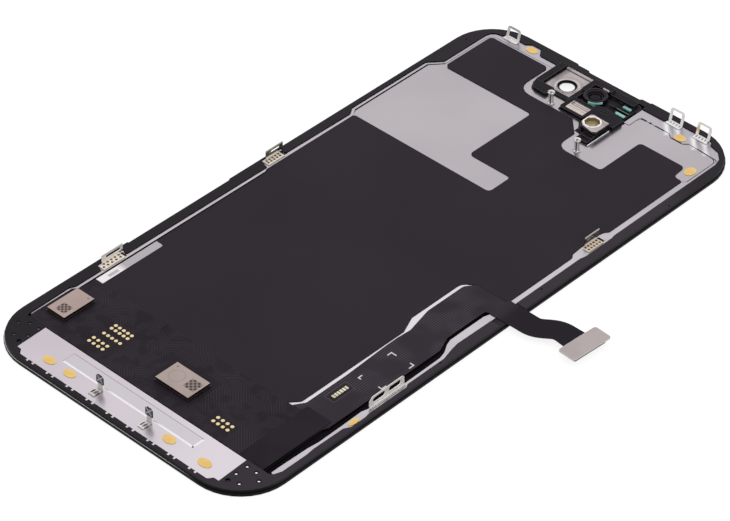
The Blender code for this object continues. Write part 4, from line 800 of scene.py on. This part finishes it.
for name, (tab_reflection_code, foot_code, slot_code, foot_length, rows) in SIDE_CLIPS.items():
    low, high = span(name)
    mid = (low + high) / 2
    made, tree, shader, body = bright_strip(name + "_steel", foot_code, foot_code, metallic=0.1, shade=0.3)
    z = axes(tree)[2]
    tab = ramp(tree, z, low.z + 0.25, low.z + 0.4)
    top_edge_highlight = ramp(tree, z, high.z - 0.34, high.z - 0.24)
    slot = both(tree, tab, band(tree, z, mid.z + 0.1, SLOT_HALF_HEIGHT, 0.1),
                patch(tree, mid.x, mid.y, (high.x - low.x) / 2 + 1, SLOT_HALF_LENGTH, 0.0, 0.1))
    holes = []
    for in_x, off, pitch in rows:
        for i in range(HOLES_IN_ROW):
            along = low.y + foot_length / 2 + off + (i - HOLES_IN_ROW // 2) * pitch
            holes.append(disc(tree, low.x + in_x, along, WELD_HOLE))
    holes = both(tree, either(tree, *holes), rest_of(tree, tab))
    # The tab carries its painted reflection, and its top edge a painted highlight.
    body = coated(
        tree, body,
        (tab, tab_reflection_code),
        (slot, slot_code, 0.8),
        (top_edge_highlight, "CFCBC8", 0.85),
        (holes, "4A3420", 0.9),
    )
    grain_and_dress(made, tree, shader, body, name)

# %% The window bracket
loop_low = span("loop_bracket")[0]
made, tree, shader, body = bright_strip("loop_steel", "FBF8F5", "EEEAE7", metallic=0.0, shade=0.25)
x, _, z = axes(tree)
foot_line = both(tree, band(tree, x, loop_low.x + 0.42, 0.05, 0.06),
                 ramp(tree, z, loop_low.z + 0.5, loop_low.z + 0.3))
body = coated(tree, body, (foot_line, "3A3838"))
grain_and_dress(made, tree, shader, body, "loop_bracket")

# %% The contact springs
HEAD_SIZE = 1.9
HEAD_BORDER = 0.17
FOOT_SLOT_PITCH = 0.62

for name in ("contact_spring_1", "contact_spring_2"):
    low, high = span(name)
    mid_x, mid_z = (low.x + high.x) / 2, high.z - HEAD_SIZE / 2
    made, tree, shader, body = bright_strip(name + "_steel", "E9E6E4", "D3CFCD", metallic=0.2, shade=0.6)
    x, y, z = axes(tree)
    across, up = maths(tree, "SUBTRACT", x, mid_x), maths(tree, "SUBTRACT", z, mid_z)
    rising = maths(tree, "ABSOLUTE", maths(tree, "SUBTRACT", across, up))
    falling = maths(tree, "ABSOLUTE", maths(tree, "ADD", across, up))
    cross = ramp(tree, maths(tree, "MINIMUM", rising, falling), 0.3, 0.16)
    field = HEAD_SIZE / 2 - HEAD_BORDER
    inner = both(tree, *(ramp(tree, maths(tree, "ABSOLUTE", way), field + 0.05, field - 0.05)
                         for way in (across, up)))
    head = ramp(tree, z, mid_z - HEAD_SIZE / 2 - 0.2, mid_z - HEAD_SIZE / 2)
    foot = ramp(tree, z, low.z + 0.4, low.z + 0.3)
    slots = both(tree, stripes(tree, x, FOOT_SLOT_PITCH, 0.1, 0.6), foot,
                 ramp(tree, y, low.y + 1.5, low.y + 1.3), ramp(tree, y, low.y + 0.3, low.y + 0.5))
    body = coated(
        tree, body,
        (head, "201E1F"),
        (both(tree, cross, inner, head), "C4C0BF", 0.85),
        (slots, "3A3736", 0.85),
    )
    grain_and_dress(made, tree, shader, body, name)

# %% The posts
POST_REFLECTION_STREAKS = ((0.25, -0.5), (-0.45, -0.35), (0.55, 0.1))
STREAK_RADIUS = 0.16

for name, post in zip(("standoff_post_left", "standoff_post_right"), POSTS):
    made, tree, shader, body = bright_strip(name + "_metal", "F0EDEB", "DEDAD8", metallic=0.3, shade=0.4,
                                            roughness=0.16)
    # Dark upright streaks, painted reflections, where these discs cut the post's side.
    marks = either(tree, *(disc(tree, post.x + across, post.y + along, STREAK_RADIUS)
                           for across, along in POST_REFLECTION_STREAKS))
    body = coated(tree, body, (marks, "2C2A2B", 0.85))
    grain_and_dress(made, tree, shader, body, name)

# %% [markdown]
# ## The camera seat and the small covers
# The seat is satin steel with a warm tone and turned rings round its hole. The flood window is
# a pale striped plate, and the projector's cover is stamped steel round a greenish filter. Their
# ribs are a fraction of a millimetre wide, so they are stripes in the material, each placed from
# its own solid.

# %% Camera seat
CAMERA = Vector((-6.45, TOP - 7.9, 0))
CAMERA_HOLE = 2.1
SEAT_ARCS = ((3.0, 0.05), (3.35, 0.04))
SEAT_RING = 2.5
LEDGE_PITCH = math.pi / 8
seat_low, seat_high = span("camera_seat")

seat, tree, shader = finish("seat_steel", "ADA3A3", 0.3, metallic=1.0)
y = axes(tree)[1]
off = distance(tree, CAMERA.x, CAMERA.y)
shade = patch(tree, seat_low.x + 0.6, seat_high.y - 2.6, 0.7, 2.6, 0.0, 1.2)
dark_arcs = either(tree, *(band(tree, off, radius, half, 0.06) for radius, half in SEAT_ARCS))
light_ring = band(tree, off, SEAT_RING, 0.08, 0.08)
hole_wall = ramp(tree, off, CAMERA_HOLE + 0.04, CAMERA_HOLE - 0.04)
ledge = box_patch(tree, seat_low.x, seat_high.x, seat_high.y - 1.0, seat_high.y, 0.1)
lines = stripes(tree, y, LEDGE_PITCH, 0.2, 0.9)
# Painted shadow near the seat's left and far edges, painted shade in corners and on the hole's wall, and a
# painted highlight on the edges.
body = coated(
    tree, toned(tree, "ADA3A3", "A1989A", 300),
    (both(tree, ledge, lines), "5F595B", 0.35),
    (dark_arcs, "5A5254", 0.6),
    (light_ring, "E9E4E4", 0.5),
    (shade, "4A4244", 0.5),
    (corner_shade(tree, 1.2, 0.8), "1A1517"),
    (edge_highlight(tree, 0.08), "F2EEEE", 0.6),
    (hole_wall, "0A080A"),
)
grained(tree, shader, body, 7000, 0.08, 0.1)
dress(seat, "camera_seat")

# %% Flood window
ROW_PITCH = 0.56
low, high = span("flood_window")

flood, tree, shader = finish("flood_window", "E6D8D3", 0.3, coat=0.2)
y = axes(tree)[1]
rows = both(tree, stripes(tree, maths(tree, "SUBTRACT", high.y, y), ROW_PITCH, -0.1, 0.4),
            box_patch(tree, low.x + 0.3, high.x - 0.1, high.y - 1.7, high.y - 0.02, 0.05))
near_line = box_patch(tree, low.x + 0.2, high.x - 0.3, high.y - 2.02, high.y - 1.88, 0.05)
end_bar = box_patch(tree, low.x + 0.12, low.x + 0.62, high.y - 1.2, high.y - 0.1, 0.06)
dark = either(tree, rows, end_bar, part_of(tree, near_line, 0.5))
# The edges get a painted highlight.
body = coated(tree, toned(tree, "E8DAD5", "DCCDC8", 500), (dark, "1E1618", 0.9),
              (edge_highlight(tree, 0.08), "FBF6F4", 0.6))
grained(tree, shader, body, 6000, 0.1, 0.05)
dress(flood, "flood_window")

# %% Projector cover and filter
FOLD_PITCH = 0.55
COVER_TOP = span("projector_cover")[1].z
COVER_END = span("projector_cover")[1].y

made, tree, shader, body = bright_strip("projector_steel", "C2B7B5", "B0A5A4", metallic=0.4, shade=0.1,
                                        roughness=0.3, reach=0.3)
x, y, z = axes(tree)
off = distance(tree, filter_mid.x, filter_mid.y)
folds = both(tree, stripes(tree, y, FOLD_PITCH, 0.0, 0.6),
             ramp(tree, y, COVER_END - 1.5, COVER_END - 1.3),
             ramp(tree, x, filter_mid.x - 0.6, filter_mid.x - 0.2))
low_side_shade = both(tree, ramp(tree, z, COVER_TOP - 0.1, COVER_TOP - 0.2),
                ramp(tree, off, FILTER_HOLE + 0.1, FILTER_HOLE + 0.3))
# A painted highlight round the filter's hole and painted shade on the cover's low sides.
body = coated(
    tree, body,
    (folds, "4A4244", 0.6),
    (ramp(tree, off, FILTER_HOLE, FILTER_HOLE - 0.15), "FFFCFA", 0.9),
    (low_side_shade, "3A3334", 0.7),
)
grain_and_dress(made, tree, shader, body, "projector_cover")

olive, tree, shader = finish("olive_glass", "B3A278", 0.16, coat=0.2)
grained(tree, shader, toned(tree, "B8A87D", "A8986C", 500), 3000, 0.1, 0.05)
dress(olive, "projector_glass")

# %% [markdown]
# ## Chips
# Each chip is a warm grey metal can, soldered on a thin pale carrier, with painted shade on its
# sides and a painted highlight along the edges of its top. A dot marks its first pin, and a plain
# chequered square lies on its top. A checker texture draws the square and the patch mask cuts it
# to size, so no image is needed. Both chips come from one recipe, with their marks placed from
# the middle of each can.

# %% A simple chequered mark
def chequer(tree, x, y, half, cells):
    """A square of plain cells, on and off in turn."""
    at = vectors(tree, "SUBTRACT", place(tree), Vector((x - half, y - half, 1)) * mm)
    flat = vectors(tree, "MULTIPLY", at, (1, 1, 0))
    cell = add(tree, "ShaderNodeTexChecker", Vector=flat, Color1=(1, 1, 1, 1), Color2=(0, 0, 0, 1),
               Scale=cells / (2 * half * mm)).outputs["Fac"]
    ink = maths(tree, "ADD", part_of(tree, cell, 0.6), 0.4)
    return both(tree, ink, patch(tree, x, y, half, half, 0.0, 0.05))


print("the chequered mark is ready")

# %% One recipe for both chips
SIDE_SHADE_CODE, DOT_CODE, MARK_CODE = "3E3530", "4C403B", "3C322E"
BORDER = 0.14
FIRST_PIN = 0.2
RING_RADIUS = 1.6
CELLS = 5


def chip(piece, material, code, other, dot, mark, ring=None):
    """A can with its dot, its mark and at times a faint ring, placed from the middle of the can."""
    low, high = span(piece)
    mid = (low + high) / 2
    made, tree, shader = finish(material, code, 0.42, metallic=1.0)
    z = axes(tree)[2]
    side = ramp(tree, z, high.z - 0.06, high.z - 0.14)
    carrier = both(tree, side, band(tree, z, low.z + 0.22, 0.07, 0.06))
    inner = box_patch(tree, low.x + BORDER, high.x - BORDER, low.y + BORDER, high.y - BORDER, 0.12)
    border_highlight = both(tree, rest_of(tree, inner), rest_of(tree, side))
    # The sides get painted shade and the top's border a painted highlight.
    coats = [(side, SIDE_SHADE_CODE), (carrier, "857972", 0.8), (border_highlight, "D5C9C4", 0.45),
             (disc(tree, mid.x + dot[0], mid.y + dot[1], FIRST_PIN), DOT_CODE, 0.7)]
    if ring:
        off = distance(tree, mid.x + ring[0], mid.y + ring[1])
        coats.append((band(tree, off, RING_RADIUS, 0.12, 0.1), "7B6D68", 0.3))
    across, along, half = mark
    coats.append((chequer(tree, mid.x + across, mid.y + along, half, CELLS), MARK_CODE, 0.9))
    grained(tree, shader, coated(tree, toned(tree, code, other, 160), *coats), 5000, 0.14, 0.12)
    dress(made, piece)


chip("driver_chip_left", "chip_can_left", "B29F99", "AA9791", dot=(1.5, 3.1), mark=(0.3, -2.0, 1.2))
chip("driver_chip_middle", "chip_can_middle", "AB9C98", "A29490", dot=(-3.3, 2.0), mark=(2.5, 0.2, 1.35),
     ring=(-1.5, 0.0))

# %% [markdown]
# ## The tail's end
# The tail ends in a board connector that points down, with a ground steel plate over it. The
# plate keeps the thin flex flat and shows as a plain satin rectangle. The connector under it is a
# satin black moulding. Both could carry finer detail, but they have nothing more to show, so a
# painted highlight on the plate's edges and painted shade on its side are enough.

# %% Stiffener and connector
STIFFENER_TOP = span("tail_stiffener")[1].z

stiffener, tree, shader = finish("stiffener_steel", "AAA0A0", 0.34, metallic=1.0)
z = axes(tree)[2]
low_side_shade = ramp(tree, z, STIFFENER_TOP - 0.08, STIFFENER_TOP - 0.16)
# Painted shade on the low sides and a painted highlight on the edges.
body = coated(tree, toned(tree, "AAA0A0", "A19797", 120), (low_side_shade, "4A4444", 0.6),
              (edge_highlight(tree, 0.1), "F6F1F0", 0.8))
grained(tree, shader, body, 6000, 0.08, 0.1)
dress(stiffener, "tail_stiffener")

connector, tree, shader = finish("connector_plastic", "272526", 0.5)
grained(tree, shader, toned(tree, "272526", "302E2E", 300), 7000, 0.2, 0.2)
dress(connector, "tail_connector")

# %% [markdown]
# ## Gold contact spots
# Each spot is a soft gold foil, more orange at its middle and paler at its rim. The distance is
# measured in shares of the spot's own radii, taken from its own solid, so that one recipe fits
# the wide and the tall ones alike.

# %% Gold contact spots
for name in [name for name in nodes if name.startswith("contact_spot")]:
    low, high = span(name)
    gold, tree, shader = finish(name, "EEC873", 0.45, metallic=0.3)
    mid, half = (low + high) / 2, (high - low) / 2
    off = distance(tree, mid.x, mid.y, half.x, half.y)
    body = coated(
        tree, toned(tree, "F2CD7A", "EDC36C", 700),
        (ramp(tree, off, 0.6, 0.1), "F0BC68", 0.6),
        (ramp(tree, off, 0.78, 1.0), "EAD29C", 0.5),
    )
    grained(tree, shader, body, 5000, 0.1, 0.12)
    dress(gold, name)

# %% [markdown]
# ## Driver board, flex and their pads
# Copper runs under the cover layer of a flex circuit, so it shows as faint lines. On the flex
# they all run along it. On the board they turn by an eighth of a circle from one area to the
# next: cells choose a direction for each area, and stripes along that direction draw the lines.
# Hundreds of real tracks would be too fine to see, so the pattern gives their look.

# %% Faint trace lines
TRACE_PITCH = 0.5
# Just under four, so that rounding down picks one of four directions.
DIRECTIONS = 3.99


def traces(tree, area):
    """Parallel lines, with another direction in each area of about this size in millimetres."""
    cells = add(tree, "ShaderNodeTexVoronoi", {"distance": "CHEBYCHEV"}, Vector=place(tree),
                Scale=1 / (area * mm))
    pick = add(tree, "ShaderNodeSeparateColor", Color=cells.outputs["Color"]).outputs[0]
    choice = maths(tree, "FLOOR", maths(tree, "MULTIPLY", pick, DIRECTIONS))
    angle = maths(tree, "MULTIPLY", choice, math.radians(45))
    turned = add(tree, "ShaderNodeVectorRotate", {"rotation_type": "Z_AXIS"}, Vector=place(tree),
                 Angle=angle)
    along = add(tree, "ShaderNodeSeparateXYZ", Vector=turned.outputs[0]).outputs[0]
    parts = add(tree, "ShaderNodeTexNoise", Vector=place(tree), Scale=420.0, Detail=1.0).outputs[0]
    return both(tree, stripes(tree, along, TRACE_PITCH * mm, 0.2, 0.8), ramp(tree, parts, 0.38, 0.55))


print("trace lines every", TRACE_PITCH, "mm")

# %% Flex circuit
TAIL_START = 31.5
SUNKEN = (24.4, 26.6, -40.2, -34.9)
SUNKEN_RIM = (24.2, 26.8, -40.4, -34.7)

flex, tree, shader = finish("display_flex", "342E35", 0.5, specular=0.05)
x, y, _ = axes(tree)
fading = add(tree, "ShaderNodeTexNoise", Vector=place(tree), Scale=160.0, Detail=1.0).outputs[0]
runs = both(tree, stripes(tree, x, TRACE_PITCH, 0.2, 0.9), ramp(tree, fading, 0.36, 0.58),
            ramp(tree, x, TAIL_START, TAIL_START - 1.5), ramp(tree, y, 4.5, 1.5))
marks = either(tree, *(corner_mark(tree, *mark) for mark in CORNER_MARKS))
tail = ramp(tree, x, TAIL_START, TAIL_START + 2.5)
well = box_patch(tree, *SUNKEN, 0.1)
well_rim = both(tree, box_patch(tree, *SUNKEN_RIM, 0.06), rest_of(tree, well))
# The edges get a painted highlight.
body = coated(
    tree, toned(tree, "322C33", "363038", 90),
    (tail, "241F26"),
    (runs, "544E57", 0.85),
    (well, "1F1A20", 0.6),
    (well_rim, "5A535C", 0.5),
    (marks, "E6E2E7"),
    (edge_highlight(tree, 0.06), "5E5861", 0.5),
)
grained(tree, shader, body, 5000, 0.15, 0.15)
dress(flex, "display_flex")

# %% Driver board
PAD_LEVEL = 1.42
TRACE_AREA = 3.0
left_low, left_high = span("driver_chip_left")
mid_low, mid_high = span("driver_chip_middle")

board, tree, shader = finish("driver_board", "2E282F", 0.5, specular=0.05)
z = axes(tree)[2]
on_pad = ramp(tree, z, PAD_LEVEL - 0.01, PAD_LEVEL + 0.01)
bare_areas = either(
    tree,
    box_patch(tree, mid_low.x - 1.7, mid_high.x + 1.0, mid_low.y - 1.2, mid_high.y + 1.9, 0.3),
    box_patch(tree, left_low.x - 0.6, left_high.x + 0.8, left_low.y - 0.6, left_high.y + 0.6, 0.3),
    box_patch(tree, -19, -12, -60.5, -52.5, 0.5),
    box_patch(tree, 13.1, 19.3, -60.6, -57, 0.5),
)
cut = patch(tree, -10.75, -47.25, 0.07, 0.95, 0.05, 0.06)
# The edges get a painted highlight.
body = coated(
    tree, toned(tree, "272128", "2C262D", 90),
    (traces(tree, TRACE_AREA), "48414A", 0.5),
    (bare_areas, "262027", 0.45),
    (cut, "0E0B0F"),
    (edge_highlight(tree, 0.06), "554F58", 0.5),
    (on_pad, "F4E0B0"),
)
grained(tree, shader, body, 5000, 0.15, 0.15)
tree.links.new(part_of(tree, on_pad, 0.3), shader.inputs["Metallic"])
dress(board, "driver_board")

# %% Pad strip
STRIP_PADS = 6
low, high = span("pad_strip")

pads, tree, shader = finish("pad_strip", "E9DFC4", 0.4, metallic=0.2)
y = axes(tree)[1]
step = maths(tree, "DIVIDE", maths(tree, "SUBTRACT", y, low.y), (high.y - low.y) / STRIP_PADS)
beside = maths(tree, "ABSOLUTE", maths(tree, "SUBTRACT", maths(tree, "FRACT", step), 0.5))
body = coated(tree, toned(tree, "F0E7CE", "E0D2AE", 500), (ramp(tree, beside, 0.33, 0.4), "2A252B"))
grained(tree, shader, body, 6000, 0.1, 0.1)
dress(pads, "pad_strip")

# %% [markdown]
# ## Teal laminate
# Three ends of a flex circuit show between the parts of the sensor bay, under a glossy teal
# cover layer. A clear teal layer over a dark one would be truer, but each end is only a few
# millimetres long, so an opaque teal under a clear coat gives the same look without noise.

# %% Teal laminate
TEAL = {
    "teal_flex_curve": ("6FBDB0", "8FD0C4"),
    "teal_strip_lower": ("74C0B3", "8FD0C4"),
    "teal_strip_upper": ("5F9F98", "6FB0A8"),
}
for name, (code, other) in TEAL.items():
    teal, tree, shader = finish(name, code, 0.3, coat=0.4)
    grained(tree, shader, toned(tree, code, other, 900), 6000, 0.15, 0.1)
    dress(teal, name)

# %% [markdown]
# ## Cover glass and panel
# The glass is printed black on its back, except over the camera, where it is clear. A hole in
# the mesh would change the glass's shape, so the clear disc is an opening in the material's
# alpha, placed from the camera's axis. The glass's rounded edge catches the light from under the
# frame as a thin grey line along the near end, so a painted highlight is laid as a narrow band
# that follows the rounded outline.

# %% Distance from the glass's rounded outline
def from_outline(tree, x, y, half_width, half_length, corner):
    """Negative inside a rounded rectangle, in millimetres from its outline."""
    across = maths(tree, "SUBTRACT", maths(tree, "ABSOLUTE", x), half_width - corner)
    along = maths(tree, "SUBTRACT", maths(tree, "ABSOLUTE", y), half_length - corner)
    past = [maths(tree, "POWER", maths(tree, "MAXIMUM", side, 0.0), 2.0) for side in (across, along)]
    far = maths(tree, "SQRT", maths(tree, "ADD", *past))
    near = maths(tree, "MINIMUM", maths(tree, "MAXIMUM", across, along), 0.0)
    return maths(tree, "SUBTRACT", maths(tree, "ADD", far, near), corner)


print("the outline's mask is ready")

# %% Cover glass and panel
CAMERA_CLEAR = 3.0
GLASS_CORNER = 11.0
EDGE_IN = 0.2

glass, tree, shader = finish("cover_glass", "0B0B0D", 0.08, specular=0.1)
x, y, z = axes(tree)
outline = from_outline(tree, x, y, HALF_WIDTH, HALF_LENGTH, GLASS_CORNER)
# A painted highlight on the glass's edge along the near end.
glass_edge_highlight = both(tree, ramp(tree, z, 0.56, 0.6), band(tree, outline, -EDGE_IN, 0.06, 0.04),
                   ramp(tree, y, -HALF_LENGTH + 9, -HALF_LENGTH + 3), ramp(tree, x, 24, 15))
clear = distance(tree, CAMERA.x, CAMERA.y)
tree.links.new(ramp(tree, clear, CAMERA_CLEAR - 0.1, CAMERA_CLEAR), shader.inputs["Alpha"])
body = coated(tree, toned(tree, "0B0B0D", "101012", 30), (glass_edge_highlight, "E6E4E8", 0.9))
grained(tree, shader, body, 2000, 0.1, 0.02)
dress(glass, "cover_glass")

panel, tree, shader = finish("panel_laminate", "070607", 0.5, specular=0.03)
grained(tree, shader, toned(tree, "060506", "0B090C", 80), 5000, 0.15, 0.15)
dress(panel, "oled_panel")

# %% [markdown]
# ## Studio
# A large pale floor, a white room and two soft lamps. The floor adds a little of its own white
# where the camera, a reflection or glass sees it, so that it reads as a white sheet and still
# keeps the module's faint shadow. More light would do the same, but it would bleach the steel.

# %% The rays that see the background
def watched_by(tree):
    """1 for rays from the camera, from a gloss or through glass."""
    path = add(tree, "ShaderNodeLightPath").outputs
    return either(tree, path["Is Camera Ray"], path["Is Glossy Ray"], path["Is Transmission Ray"])


print("background rays are ready")

# %% Floor
FLOOR_SIZE = 6
FLOOR_DROP = 0.02
FLOOR_WHITE = 0.84

bpy.ops.object.select_all(action="DESELECT")
bpy.ops.mesh.primitive_plane_add(size=FLOOR_SIZE, location=(0, 0, -FLOOR_DROP * mm))
floor = bpy.context.object
floor.name = "floor"
paper, tree, shader = finish("floor_paper", "8A8A8A", 0.9, specular=0.0)
shader.inputs["Emission Color"].default_value = (1, 1, 1, 1)
tree.links.new(part_of(tree, watched_by(tree), FLOOR_WHITE), shader.inputs["Emission Strength"])
floor.data.materials.append(paper)
floor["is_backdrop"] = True
print("floor of", FLOOR_SIZE, "m")

# %% Room and lamps
ROOM_LIGHT = 0.82

room = bpy.data.worlds.new("room")
bpy.context.scene.world = room
room.use_nodes = True
tree = room.node_tree
strength = maths(tree, "ADD", part_of(tree, watched_by(tree), 1.0 - ROOM_LIGHT), ROOM_LIGHT)
background = tree.nodes["Background"]
background.inputs["Color"].default_value = (1, 1, 1, 1)
tree.links.new(strength, background.inputs["Strength"])


def soft_lamp(name, spot, size, power):
    """A round lamp at a spot, turned to the module."""
    lamp = bpy.data.lights.new(name, "AREA")
    lamp.shape = "DISK"
    lamp.size = size
    lamp.energy = power
    made = bpy.data.objects.new(name, lamp)
    made.location = spot
    made.rotation_euler = (-Vector(spot)).to_track_quat("-Z", "Y").to_euler()
    bpy.context.scene.collection.objects.link(made)
    return made


lamps = [
    soft_lamp("lamp_behind", spot=(-0.5, 0.7, 0.8), size=0.6, power=0.25),
    soft_lamp("lamp_front", spot=(0.7, -0.3, 0.9), size=0.5, power=0.2),
]
bpy.context.scene.view_settings.view_transform = "Standard"
print("room and lamps:", [lamp.name for lamp in lamps])

# %% Write the sizes and finish
low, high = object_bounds()
print("dressed size in mm:", [round(side / mm, 1) for side in high - low])
